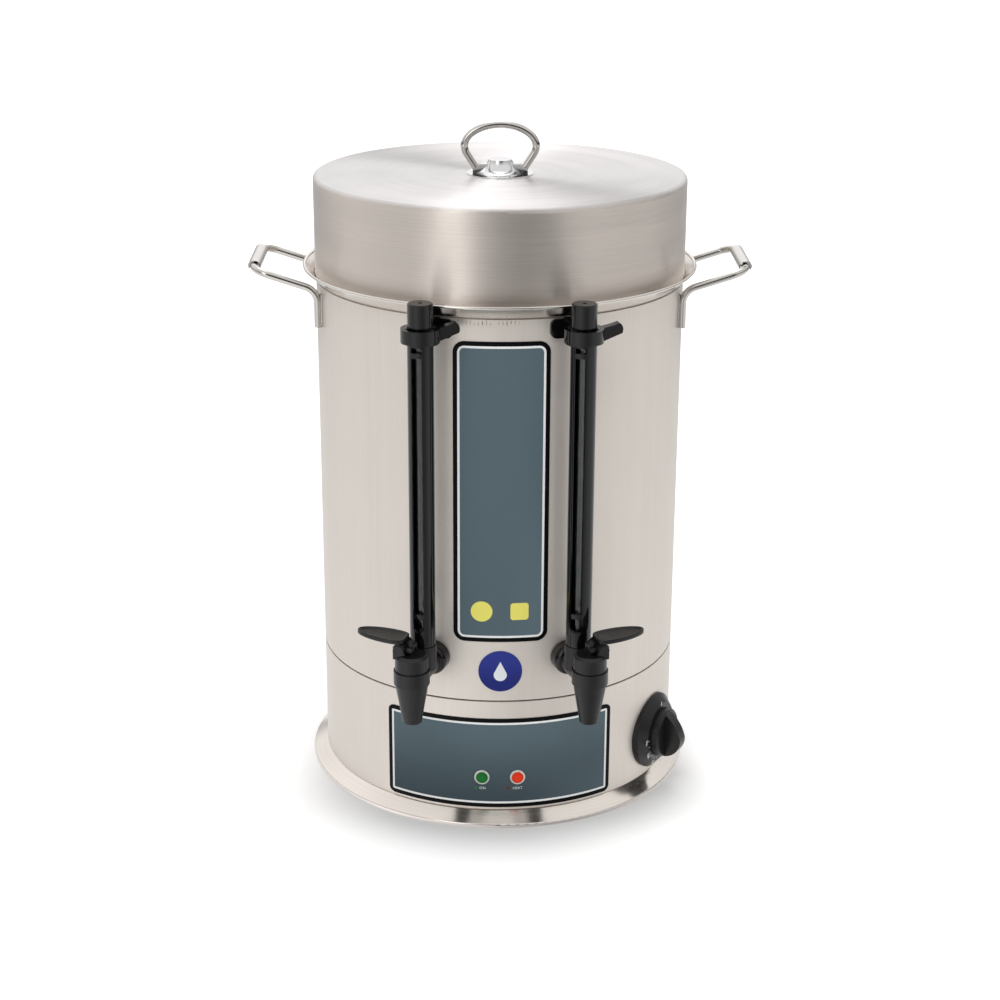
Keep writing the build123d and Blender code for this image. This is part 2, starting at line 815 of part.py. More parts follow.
# One moulding: threaded shank, barrel, gauge boss, valve chamber and tapered spout.
with BuildPart() as tap_body:
    with Locations((0, -shank_end, tap_height)):
        Cylinder(shank_radius, barrel_back + sheet - shank_end, rotation=(90, 0, 0), align=upward)
    with Locations((0, -barrel_back, tap_height)):
        Cylinder(barrel_radius, spout_radius - barrel_back, rotation=(90, 0, 0), align=upward)
    with Locations((0, -column_radius, tap_height)):
        Cylinder(guard_radius + boss_step, column_boss, align=upward)
    with BuildSketch(Plane.YZ):
        with BuildLine():
            Polyline(
                (-barrel_back, tap_height),
                (-barrel_back, tap_height - barrel_radius + sheet),
                (-(spout_radius - spout_tip_radius), collar_bottom - 0.4 * spout_drop),
                (-(spout_radius - spout_tip_radius), tap_height),
                close=True,
            )
        make_face()
    extrude(amount=gusset_width / 2, both=True)
    with Locations((0, -spout_radius, collar_bottom)):
        Cylinder(collar_radius, collar_height, align=upward)
        Cone(spout_tip_radius, spout_top_radius, spout_drop, align=downward)
    chamfer(tap_body.edges().filter_by(GeomType.CIRCLE).group_by(Axis.Z)[0], sheet)
    with Locations((0, -spout_radius, chamber_top)):
        Cylinder(bonnet_radius + lap_gap, barrel_radius, align=upward, mode=Mode.SUBTRACT)
    with Locations((0, -spout_radius, collar_bottom + sheet)):
        Cylinder(chamber_radius, collar_height, align=upward, mode=Mode.SUBTRACT)
        Cylinder(spout_bore, spout_drop + 2 * sheet, align=downward, mode=Mode.SUBTRACT)
    with Locations((0, -shank_end, tap_height)):
        Cylinder(
            water_bore,
            spout_radius - chamber_radius + sheet - shank_end,
            rotation=(90, 0, 0),
            align=upward,
            mode=Mode.SUBTRACT,
        )
    with Locations((0, -column_radius, tap_height)):
        Cylinder(water_bore - sheet, column_boss, align=upward, mode=Mode.SUBTRACT)
    with Locations((0, -column_radius, glass_bottom)):
        Cylinder(glass_radius + thread_gap, column_boss, align=upward, mode=Mode.SUBTRACT)

# The bonnet screws into the chamber and carries the lever between two ears.
with BuildPart() as tap_bonnet:
    with Locations((0, -spout_radius, chamber_top)):
        Cylinder(bonnet_radius, bonnet_height, align=upward)
    chamfer(tap_bonnet.faces().sort_by(Axis.Z)[-1].edges(), bonnet_bevel)
    with Locations((0, -spout_radius, chamber_top)):
        Cylinder(chamber_radius - thread_gap, 2.5 * sheet, align=downward)
    with BuildSketch(Plane.XZ.offset(spout_radius)):
        with Locations((pivot_offset, pivot_height)):
            Circle(ear_radius)
            Rectangle(2 * ear_radius, pivot_rise + bonnet_bevel + sheet, align=(Align.CENTER, Align.MAX))
            Circle(pin_radius + lap_gap, mode=Mode.SUBTRACT)
    extrude(amount=hub_width / 2 + seat_gap + ear_thickness, both=True)
    with BuildSketch(Plane.XY.offset(bonnet_top)):
        with Locations((0, -spout_radius)):
            Rectangle(4 * bonnet_radius, hub_width + 2 * seat_gap)
    extrude(amount=2 * bonnet_height, mode=Mode.SUBTRACT)
    with Locations((0, -spout_radius, bonnet_top - bonnet_deck)):
        Cylinder(chamber_radius - 2 * sheet, 2 * bonnet_height, align=downward, mode=Mode.SUBTRACT)
        Cylinder(stem_radius + running_gap, 4 * bonnet_deck, mode=Mode.SUBTRACT)

with BuildPart() as valve_stem:
    with Locations((0, -spout_radius, seat_level + seat_thickness / 2)):
        Cylinder(stem_radius, head_bottom - seat_level, align=upward)
    with Locations((0, -spout_radius, head_bottom)):
        Cylinder(stem_head_radius, stem_head, align=upward)

with BuildPart() as seat_cup:
    with Locations((0, -spout_radius, seat_level)):
        Cylinder(seat_radius, seat_thickness, align=upward)
        Cone(seat_radius - sheet, stem_radius + sheet, 2.5 * sheet + seat_thickness, align=upward)
    with Locations((0, -spout_radius, seat_level + seat_thickness / 2)):
        Cylinder(stem_radius + lap_gap, 4 * seat_thickness, align=upward, mode=Mode.SUBTRACT)

# The lever: a dished paddle, a hub on the pin, and two prongs that lift the stem's head.
with BuildPart() as tap_lever:
    with Locations((pivot_offset, -spout_radius, pivot_height)):
        Cylinder(hub_radius, hub_width, rotation=(90, 0, 0))
    paddle_plane = Plane(
        origin=(pivot_offset, -spout_radius, pivot_height),
        x_dir=(cos(radians(paddle_tilt)), 0, sin(radians(paddle_tilt))),
        z_dir=(-sin(radians(paddle_tilt)), 0, cos(radians(paddle_tilt))),
    )
    with BuildSketch(paddle_plane.offset(-paddle_thickness / 2)):
        with Locations((paddle_centre, 0)):
            Ellipse(paddle_length / 2, paddle_width / 2)
        Rectangle(paddle_centre, hub_width, align=(Align.MIN, Align.CENTER))
    extrude(amount=paddle_thickness)
    for inset, depth in ((dish_edge, 0), (2 * dish_edge, dish_depth)):
        with BuildSketch(paddle_plane.offset(paddle_thickness / 2 - depth)):
            with Locations((paddle_centre, 0)):
                Ellipse(paddle_length / 2 - inset, paddle_width / 2 - inset)
    loft(mode=Mode.SUBTRACT)
    with Locations((pivot_offset, -spout_radius, pivot_height)):
        with GridLocations(0, hub_width - prong_width, 1, 2):
            Box(prong_reach, prong_width, prong_height, align=(Align.MAX, Align.CENTER, Align.CENTER))
    with Locations((pivot_offset, -spout_radius, pivot_height)):
        Cylinder(pin_radius + running_gap, 2 * hub_width, rotation=(90, 0, 0), mode=Mode.SUBTRACT)

for hand, side in handed:
    for piece_name, piece in (
        ("tap_body", tap_body),
        ("tap_bonnet", tap_bonnet),
        ("valve_stem", valve_stem),
        ("seat_cup", seat_cup),
        ("tap_lever", tap_lever),
    ):
        tap_piece = as_handed(piece.part, side)
        tap_piece.label = f"{hand}_{piece_name}"
        export_step(tap_piece, f"parts/{hand}_{piece_name}.step")

with BuildPart() as lever_pins:
    for _, side in handed:
        turn = Location((0, 0, pivot_height), (0, 0, side * tap_azimuth))
        with Locations(turn * Location((side * pivot_offset, -spout_radius, 0), (90, 0, 0))):
            Cylinder(pin_radius, hub_width + 2 * ear_thickness)
lever_pins.part.label = "lever_pins"
export_step(lever_pins.part, "parts/lever_pins.step")

# Round domed nuts hold the taps on the wall, with a shaped washer under each.
with BuildPart() as wall_nuts:
    for _, side in handed:
        with Locations(on_side(side * tap_azimuth, wall_nut_back, tap_height)):
            Cylinder(wall_nut_radius, wall_nut_length, align=upward)
    fillet(wall_nuts.edges().filter_by(GeomType.CIRCLE).sort_by(SortBy.DISTANCE)[-2:], 0.4 * wall_nut_length)
    for _, side in handed:
        with Locations(on_side(side * tap_azimuth, body_radius, tap_height)):
            Cylinder(shank_radius + thread_gap, 4 * wall_nut_length, mode=Mode.SUBTRACT)
wall_nuts.part.label = "wall_nuts"
export_step(wall_nuts.part, "parts/wall_nuts.step")

with BuildPart() as lock_nuts:
    for _, side in handed:
        with BuildSketch(Plane(on_side(side * tap_azimuth, lock_nut_face, tap_height))):
            RegularPolygon(lock_nut_radius, 6)
            Circle(shank_radius + thread_gap, mode=Mode.SUBTRACT)
        extrude(amount=-nut_height)
lock_nuts.part.label = "lock_nuts"
export_step(lock_nuts.part, "parts/lock_nuts.step")

with BuildPart() as tap_washers:
    for _, side in handed:
        with BuildSketch(Plane(on_side(side * tap_azimuth, lock_nut_face, tap_height))):
            Circle(lock_nut_radius - sheet)
            Circle(shank_radius + thread_gap, mode=Mode.SUBTRACT)
        extrude(amount=wall_nut_back - lock_nut_face)
    with BuildSketch(Plane.XY.offset(tap_height - 2 * lock_nut_radius)):
        Circle(body_radius + lap_gap)
        Circle(tank_bore - lap_gap, mode=Mode.SUBTRACT)
    extrude(amount=4 * lock_nut_radius, mode=Mode.SUBTRACT)
tap_washers.part.label = "tap_washers"
export_step(tap_washers.part, "parts/tap_washers.step")

# =====================================================================
# Gauge columns
# =====================================================================

column_axis = Axis((0, -column_radius, 0), (0, 0, 1))


def gauge_guard(window_azimuth):
    """The black guard tube, with its windows cut towards window_azimuth from the column's front."""
    with BuildPart() as guard:
        with Locations((0, -column_radius, boss_top)):
            Cylinder(guard_radius, guard_top - boss_top, align=upward)
        with BuildSketch(Plane.XZ.offset(column_radius)):
            for low, high in window_spans:
                with Locations((0, (low + high) / 2)):
                    Rectangle(window_width, high - low)
            with Locations((0, foot_window_low)):
                Circle(window_width / 2)
        extrude(amount=2 * guard_radius, mode=Mode.SUBTRACT)
        with Locations((0, -column_radius, boss_top)):
            Cylinder(glass_radius + 2 * seat_gap, guard_top, align=upward, mode=Mode.SUBTRACT)
    return guard.part.rotate(column_axis, window_azimuth)


column_feet = [point_at(side * tap_azimuth, column_radius, 0) for _, side in handed]

with BuildPart() as gauge_glasses:
    with BuildSketch(Plane.XY.offset(glass_bottom + seat_gap)):
        with Locations(*column_feet):
            Circle(glass_radius)
            Circle(glass_radius - glass_wall, mode=Mode.SUBTRACT)
    extrude(amount=glass_top - glass_bottom - seat_gap)
gauge_glasses.part.label = "gauge_glasses"
export_step(gauge_glasses.part, "parts/gauge_glasses.step")

with BuildPart() as gauge_caps:
    with BuildSketch(Plane.XY.offset(guard_top)):
        with Locations(*column_feet):
            Circle(cap_radius)
    extrude(amount=cap_height)
    chamfer(gauge_caps.edges().group_by(Axis.Z)[-1], 0.8 * sheet)
    with BuildSketch(Plane.XY.offset(guard_top)):
        with Locations(*column_feet):
            Circle(glass_radius + thread_gap)
    extrude(amount=glass_top - guard_top + seat_gap, mode=Mode.SUBTRACT)
    with BuildSketch(Plane.XY.offset(glass_top)):
        with Locations(*column_feet):
            Circle(vent_radius)
    extrude(amount=cap_height, mode=Mode.SUBTRACT)
gauge_caps.part.label = "gauge_caps"
export_step(gauge_caps.part, "parts/gauge_caps.step")

# The lock collar turns on the bracket's split sleeve by its curved thumb tail.
with BuildPart() as lock_collar:
    with BuildSketch(Plane.XZ.offset(column_radius)):
        with BuildLine():
            tail_root = ring_bore + ring_wall / 3
            mid = 0.62 * tail_length
            bottom_arc = ThreePointArc(
                (tail_root, ring_bottom),
                (mid, ring_bottom + 0.3 * tail_rise),
                (tail_length + sheet, ring_bottom + 1.15 * tail_rise),
            )
            end_arc = ThreePointArc(
                bottom_arc @ 1,
                (tail_length + 1.6 * sheet, ring_bottom + tail_rise + 0.4 * ring_height),
                (tail_length - sheet, ring_top + tail_rise - 2 * sheet),
            )
            top_arc = ThreePointArc(end_arc @ 1, (mid, ring_top + 0.12 * tail_rise), (tail_root, ring_top))
            Line(top_arc @ 1, bottom_arc @ 0)
        make_face()
    extrude(amount=tail_thickness / 2, both=True)
    with Locations((0, -column_radius, ring_bottom)):
        Cylinder(ring_radius, ring_height, align=upward)
        Cylinder(ring_bore, 2 * ring_height, align=upward, mode=Mode.SUBTRACT)

# A curved wall plate, a tongue over the collar and a split sleeve inside it.
with BuildPart() as bracket:
    with BuildSketch(Plane.XZ.offset(body_radius / 2)):
        with Locations((0, bracket_middle)):
            RectangleRounded(bracket_width, bracket_height, bracket_corner)
    extrude(amount=body_radius)
    with BuildSketch(Plane.XY.offset(bracket_middle - bracket_height)):
        Circle(body_radius + lap_gap + bracket_plate)
        Circle(body_radius + lap_gap, mode=Mode.SUBTRACT)
    extrude(amount=2 * bracket_height, mode=Mode.INTERSECT)
    with Locations((0, -body_radius, rivet_height)):
        Cylinder(rivet_radius + running_gap, 8 * sheet, rotation=(90, 0, 0), mode=Mode.SUBTRACT)
    with Locations((0, -(body_radius + sheet), tongue_bottom)):
        Box(
            tongue_width,
            column_reach - sheet - sleeve_bore - sleeve_wall / 2,
            tongue_thickness,
            align=(Align.CENTER, Align.MAX, Align.MIN),
        )
    with BuildSketch(Plane.XY.offset(ring_bottom - sheet)):
        with Locations((0, -column_radius)):
            Circle(sleeve_bore + sleeve_wall)
            Circle(sleeve_bore, mode=Mode.SUBTRACT)
    extrude(amount=ring_height + sheet)
    with BuildSketch(Plane.XY.offset(ring_bottom - sheet)):
        with Locations((0, -column_radius)):
            Circle(ring_radius - sheet)
            Circle(sleeve_bore, mode=Mode.SUBTRACT)
    extrude(amount=sheet - seat_gap)
    with BuildSketch(Plane.XY.offset(ring_top)):
        with Locations((0, -column_radius)):
            Circle(sleeve_bore + sleeve_wall)
            Circle(sleeve_bore, mode=Mode.SUBTRACT)
            Rectangle(tongue_width, 4 * ring_radius, align=(Align.CENTER, Align.MIN), mode=Mode.INTERSECT)
    extrude(amount=seat_gap + tongue_thickness)
    with BuildSketch(Plane.XY.offset(ring_bottom - 2 * sheet)):
        with BuildLine():
            mouth_end = -(column_radius + 2 * ring_radius)
            mouth_half = 2 * ring_radius * tan(radians(sleeve_mouth))
            Polyline((0, -column_radius), (mouth_half, mouth_end), (-mouth_half, mouth_end), close=True)
        make_face()
    extrude(amount=2 * ring_height, mode=Mode.SUBTRACT)

with BuildPart() as gauge_brackets:
    for _, side in handed:
        add(turned(bracket.part, side * tap_azimuth))
gauge_brackets.part.label = "gauge_brackets"
export_step(gauge_brackets.part, "parts/gauge_brackets.step")

with BuildPart() as bracket_rivets:
    for _, side in handed:
        with Locations(on_side(side * tap_azimuth, lap_radius, rivet_height)):
            Cylinder(rivet_radius, sheet + 2 * lap_gap + bracket_plate, align=upward)
            Cylinder(rivet_head, sheet, align=downward)
        with Locations(on_side(side * tap_azimuth, body_radius + lap_gap + bracket_plate, rivet_height)):
            Cylinder(rivet_head, sheet, align=upward)
bracket_rivets.part.label = "bracket_rivets"
export_step(bracket_rivets.part, "parts/bracket_rivets.step")

for hand, side in handed:
    tail_turn = tail_back_angle - side * tap_azimuth
    column_pieces = (
        ("gauge_guard", gauge_guard(window_azimuths[hand] - side * tap_azimuth)),
        ("lock_collar", lock_collar.part.rotate(column_axis, tail_turn)),
    )
    for piece_name, piece in column_pieces:
        column_piece = turned(piece, side * tap_azimuth)
        column_piece.label = f"{hand}_{piece_name}"
        export_step(column_piece, f"parts/{hand}_{piece_name}.step")

# =====================================================================
# Side handles
# =====================================================================

with BuildPart() as side_handle:
    with BuildLine() as rod_path:
        FilletPolyline(
            (leg_x, -rod_half_span, leg_bottom),
            (leg_x, -rod_half_span, leg_top),
            (bar_x, -rod_half_span, bar_height),
            (bar_x, rod_half_span, bar_height),
            (leg_x, rod_half_span, leg_top),
            (leg_x, rod_half_span, leg_bottom),
            radius=[rod_leg_bend, rod_corner, rod_corner, rod_leg_bend],
        )
    with BuildSketch(Plane(origin=rod_path.line @ 0, z_dir=rod_path.line % 0)):
        Circle(rod_radius)
    sweep(path=rod_path.line)

# The grip is a strip rolled round the outer bar and open underneath.
with BuildPart() as handle_grips:
    grip_plane = Plane(
        origin=(bar_x, rod_half_span - rod_corner, bar_height),
        x_dir=(cos(radians(handle_slope)), 0, sin(radians(handle_slope))),
        z_dir=(0, -1, 0),
    )
    with BuildSketch(grip_plane):
        Ellipse(grip_half_width, grip_half_height)
        Ellipse(grip_half_width - grip_sheet, grip_half_height - grip_sheet, mode=Mode.SUBTRACT)
        with Locations((0, -grip_half_height)):
            Rectangle(1.1 * grip_half_width, grip_half_height, mode=Mode.SUBTRACT)
    extrude(amount=2 * (rod_half_span - rod_corner))
    mirror(about=Plane.YZ)
handle_grips.part.label = "handle_grips"
export_step(handle_grips.part, "parts/handle_grips.step")

for hand, side in handed:
    handle_piece = side_handle.part if side > 0 else side_handle.part.mirror(Plane.YZ)
    handle_piece.label = f"{hand}_side_handle"
    export_step(handle_piece, f"parts/{hand}_side_handle.step")

# =====================================================================
# Brew pot, its outlet pipe and the strainer
# =====================================================================

with BuildPart() as brew_pot:
    with BuildSketch(Plane.XZ):
        with BuildLine():
            FilletPolyline(
                (0, pot_bottom),
                (pot_radius, pot_bottom),
                (pot_radius, pot_flange_bottom),
                (pot_flange_radius, pot_flange_bottom),
                radius=[pot_corner, 2 * sheet],
            )
            offset(amount=sheet, side=Side.LEFT)
        make_face()
    revolve(axis=Axis.Z)
    with Locations(point_at(tap_azimuth, outlet_reach, pot_bottom)):
        Cylinder(spigot_radius, spigot_length, align=downward)
        Cylinder(spigot_radius - 1.5 * sheet, 4 * spigot_length, mode=Mode.SUBTRACT)
    with BuildSketch(Plane.XY.offset(pot_flange_bottom - sheet)):
        with PolarLocations(flange_middle, steam_holes, start_angle=180 / steam_holes):
            Circle(steam_hole_radius)
    extrude(amount=4 * sheet, mode=Mode.SUBTRACT)
brew_pot.part.label = "brew_pot"
export_step(brew_pot.part, "parts/brew_pot.step")

with BuildPart() as pot_loops:
    for side in (-1, 1):
        with BuildLine() as loop_path:
            FilletPolyline(
                (side * flange_middle, -pot_loop_width / 2, pot_flange_top + lap_gap),
                (side * flange_middle, -pot_loop_width / 2, pot_flange_top + pot_loop_height),
                (side * flange_middle, pot_loop_width / 2, pot_flange_top + pot_loop_height),
                (side * flange_middle, pot_loop_width / 2, pot_flange_top + lap_gap),
                radius=pot_loop_height / 3,
            )
        with BuildSketch(Plane(origin=loop_path.line @ 0, z_dir=loop_path.line % 0)):
            Circle(pot_loop_wire)
        sweep(path=loop_path.line)
pot_loops.part.label = "pot_loops"
export_step(pot_loops.part, "parts/pot_loops.step")

with BuildPart() as strainer_basket:
    with BuildSketch(Plane.XZ):
        with BuildLine():
            FilletPolyline(
                (0, basket_lip_bottom - basket_depth),
                (basket_radius, basket_lip_bottom - basket_depth),
                (basket_radius, basket_lip_bottom),
                (pot_radius + basket_lip, basket_lip_bottom),
                radius=[basket_corner, 2 * sheet],
            )
            offset(amount=sheet, side=Side.LEFT)
        make_face()
    revolve(axis=Axis.Z)
    with BuildSketch(Plane.XY.offset(basket_lip_bottom - basket_depth)):
        with PolarLocations(0.32 * basket_radius, 6):
            Circle(basket_hole_radius)
        with PolarLocations(0.62 * basket_radius, 12):
            Circle(basket_hole_radius)
        Circle(basket_hole_radius)
    extrude(amount=sheet, mode=Mode.SUBTRACT)
strainer_basket.part.label = "strainer_basket"
export_step(strainer_basket.part, "parts/strainer_basket.step")

with BuildPart() as basket_handle:
    with BuildLine() as arch_path:
        FilletPolyline(
            (-arch_foot, 0, basket_lip_bottom - 5 * basket_wire),
            (-arch_foot, 0, basket_lip_bottom + basket_arch / 2),
            (-arch_foot / 2, 0, basket_lip_bottom + basket_arch),
            (arch_foot / 2, 0, basket_lip_bottom + basket_arch),
            (arch_foot, 0, basket_lip_bottom + basket_arch / 2),
            (arch_foot, 0, basket_lip_bottom - 5 * basket_wire),
            radius=basket_arch / 3,
        )
    with BuildSketch(Plane(origin=arch_path.line @ 0, z_dir=arch_path.line % 0)):
        Circle(basket_wire)
    sweep(path=arch_path.line)
basket_handle.part.label = "basket_handle"
export_step(basket_handle.part, "parts/basket_handle.step")

# The pipe's cup takes the pot's spigot, and its flared end meets the right tap's shank.
with BuildPart() as brew_pipe:
    with BuildLine() as pipe_path:
        FilletPolyline(
            (0, -outlet_reach, socket_top - socket_depth),
            (0, -outlet_reach, tap_height),
            (0, -(shank_end - lap_gap), tap_height),
            radius=pipe_bend,
        )
    with BuildSketch(Plane(origin=pipe_path.line @ 0, z_dir=pipe_path.line % 0)):
        Circle(pipe_radius)
    sweep(path=pipe_path.line)
    with Locations((0, -outlet_reach, socket_top)):
        Cylinder(socket_radius, socket_depth + 2 * sheet, align=downward)
    with Locations((0, -(shank_end - lap_gap), tap_height)):
        Cylinder(shank_radius, 2.5 * sheet, rotation=(90, 0, 0), align=downward)
    with BuildSketch(Plane(origin=pipe_path.line @ 0, z_dir=pipe_path.line % 0)):
        Circle(pipe_radius - pipe_wall)
    sweep(path=pipe_path.line, mode=Mode.SUBTRACT)
    with Locations((0, -outlet_reach, socket_top)):
        Cylinder(spigot_radius + seat_gap, socket_depth, align=downward, mode=Mode.SUBTRACT)
        Cylinder(seal_radius, seal_thickness + lap_gap, align=downward, mode=Mode.SUBTRACT)
pipe_piece = turned(brew_pipe.part, tap_azimuth)
pipe_piece.label = "brew_pipe"
export_step(pipe_piece, "parts/brew_pipe.step")

with BuildPart() as pipe_union:
    with BuildSketch(Plane(on_side(tap_azimuth, shank_end - 3 * sheet, tap_height))):
        RegularPolygon(lock_nut_radius - sheet, 6)
    extrude(amount=-3 * sheet)
    with BuildSketch(Plane(on_side(tap_azimuth, shank_end - 3 * sheet, tap_height))):
        RegularPolygon(lock_nut_radius - sheet, 6)
        Circle(shank_radius + thread_gap, mode=Mode.SUBTRACT)
    extrude(amount=8 * sheet)
    with Locations(on_side(tap_azimuth, shank_end, tap_height)):
        Cylinder(pipe_radius + thread_gap, 8 * shank_inside, mode=Mode.SUBTRACT)
pipe_union.part.label = "pipe_union"
export_step(pipe_union.part, "parts/pipe_union.step")

# =====================================================================
# Lid
# =====================================================================

with BuildPart() as lid:
    with BuildSketch(Plane.XZ):
        with BuildLine():
            FilletPolyline(
                (0, crown_top),
                (1.4 * boss_radius, crown_top),
                (lid_radius, lid_top),
                (lid_radius, lid_bottom),
                radius=[8 * lid_corner, lid_corner],
            )
            offset(amount=sheet, side=Side.RIGHT)
        make_face()
    revolve(axis=Axis.Z)
    with Locations((0, 0, crown_top)):
        Cylinder(screw_radius + seat_gap, 4 * sheet, mode=Mode.SUBTRACT)
lid.part.label = "lid"
export_step(lid.part, "parts/lid.step")


def loop_line():
    """The centre line of the lid's wire: two legs that lean out and one wide arch between them."""
    with BuildLine() as line:
        FilletPolyline(*loop_points, radius=loop_radii)
    return line.line


# A stamped boss: a thin flange sweeping up to a small crown, with a lug at each side for the wire.
with BuildPart() as lid_boss:
    with BuildSketch(Plane.XZ):
        with BuildLine():
            boss_foot = (0.78 * boss_radius, crown_top + sheet)
            boss_crown = (boss_top_radius, crown_top + boss_height)
            Line((0, crown_top + lap_gap), (boss_radius, crown_top + lap_gap))
            Line((boss_radius, crown_top + lap_gap), (boss_radius, crown_top + sheet))
            Line((boss_radius, crown_top + sheet), boss_foot)
            ThreePointArc(
                boss_foot,
                (0.5 * (boss_foot[0] + boss_crown[0]) - sheet, crown_top + 0.36 * boss_height),
                boss_crown,
            )
            Line(boss_crown, (0, crown_top + boss_height))
            Line((0, crown_top + boss_height), (0, crown_top + lap_gap))
        make_face()
    revolve(axis=Axis.Z)
    for side in (-1, 1):
        with BuildSketch(Plane.XZ):
            with BuildLine():
                Polyline(
                    (side * boss_top_radius, crown_top + sheet / 2),
                    (side * (loop_foot + lid_wire + sheet), crown_top + sheet / 2),
                    (side * (loop_foot + lid_wire + sheet), crown_top + lug_height / 2),
                    (side * (loop_foot - lid_wire), crown_top + lug_height),
                    (side * boss_top_radius, crown_top + lug_height),
                    close=True,
                )
            make_face()
        extrude(amount=lug_width / 2, both=True)
    loop_path = loop_line()
    with BuildSketch(Plane(origin=loop_path @ 0, z_dir=loop_path % 0)):
        Circle(lid_wire + lap_gap)
    sweep(path=loop_path, mode=Mode.SUBTRACT)
    with Locations((0, 0, crown_top)):
        Cylinder(screw_radius + lap_gap, 1.4 * boss_height, mode=Mode.SUBTRACT)
lid_boss.part.label = "lid_boss"
export_step(lid_boss.part, "parts/lid_boss.step")

with BuildPart() as lid_loop:
    with BuildSketch(Plane(origin=loop_path @ 0, z_dir=loop_path % 0)):
        Circle(lid_wire)
    sweep(path=loop_path)
lid_loop.part.label = "lid_loop"
export_step(lid_loop.part, "parts/lid_loop.step")

with BuildPart() as lid_screw:
    with Locations((0, 0, crown_top - sheet)):
        Cylinder(screw_radius, sheet + 0.6 * boss_height, align=upward)
        Cylinder(3 * screw_radius, 1.5 * sheet, align=downward)
lid_screw.part.label = "lid_screw"
export_step(lid_screw.part, "parts/lid_screw.step")
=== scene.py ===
"""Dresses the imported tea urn: every node's finish, films, welds, dial figures, leaf levers, lid loop, and the studio.

Metres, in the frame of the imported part: +Z up, the floor at z = 0, the taps facing -Y. An azimuth is counted
from the front towards +X. Sizes are written in millimetres and multiplied by MM.
"""

import logging
import math
from abc import ABC, abstractmethod
from collections.abc import Iterator, Mapping
from dataclasses import dataclass
from enum import Enum
from typing import ClassVar

import bpy
from mathutils import Matrix, Vector

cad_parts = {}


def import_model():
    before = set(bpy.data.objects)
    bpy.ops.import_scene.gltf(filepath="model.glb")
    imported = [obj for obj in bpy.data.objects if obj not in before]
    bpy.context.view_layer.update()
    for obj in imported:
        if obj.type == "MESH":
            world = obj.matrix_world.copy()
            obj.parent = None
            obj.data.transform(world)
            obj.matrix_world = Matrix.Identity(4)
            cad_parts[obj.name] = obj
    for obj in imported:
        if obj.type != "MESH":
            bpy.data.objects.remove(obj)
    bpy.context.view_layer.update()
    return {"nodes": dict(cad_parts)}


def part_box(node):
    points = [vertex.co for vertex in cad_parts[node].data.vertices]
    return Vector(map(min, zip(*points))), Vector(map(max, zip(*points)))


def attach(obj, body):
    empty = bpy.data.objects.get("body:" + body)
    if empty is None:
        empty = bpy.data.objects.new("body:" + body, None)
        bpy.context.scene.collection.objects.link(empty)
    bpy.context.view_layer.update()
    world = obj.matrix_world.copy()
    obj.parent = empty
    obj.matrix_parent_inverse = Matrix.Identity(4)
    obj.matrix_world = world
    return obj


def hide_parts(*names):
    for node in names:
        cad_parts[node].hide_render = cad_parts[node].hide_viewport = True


LOG = logging.getLogger("tea_urn")
MM = 0.001

BODY_RADIUS = 150 * MM

UP = Vector((0.0, 0.0, 1.0))
HANDS = {"left": -1, "right": 1}

Piece = bpy.types.Object
Colour = tuple[float, float, float, float]
Socket = bpy.types.NodeSocket
Value = float | Colour | tuple[float, float, float] | Socket


def screen(red: float, green: float, blue: float) -> Colour:
    """Turns a colour in screen values into the linear colour that a shader takes.

    Args:
        red: Red, from 0 to 255.
        green: Green, from 0 to 255.
        blue: Blue, from 0 to 255.

    Returns:
        The linear colour with full alpha.
    """
    shares = (channel / 255 for channel in (red, green, blue))
    linear = (s / 12.92 if s <= 0.04045 else ((s + 0.055) / 1.055) ** 2.4 for s in shares)
    return (*linear, 1.0)


def tinted(colour: Colour, share: float) -> Colour:
    """Gives a colour brightened or darkened by a share of itself."""
    return (*(min(1.0, channel * share) for channel in colour[:3]), 1.0)


def outward(azimuth: float) -> Vector:
    """Gives the level direction out of the vessel at an azimuth in degrees."""
    turn = math.radians(azimuth)
    return Vector((math.sin(turn), -math.cos(turn), 0.0))


# --- Node trees ---


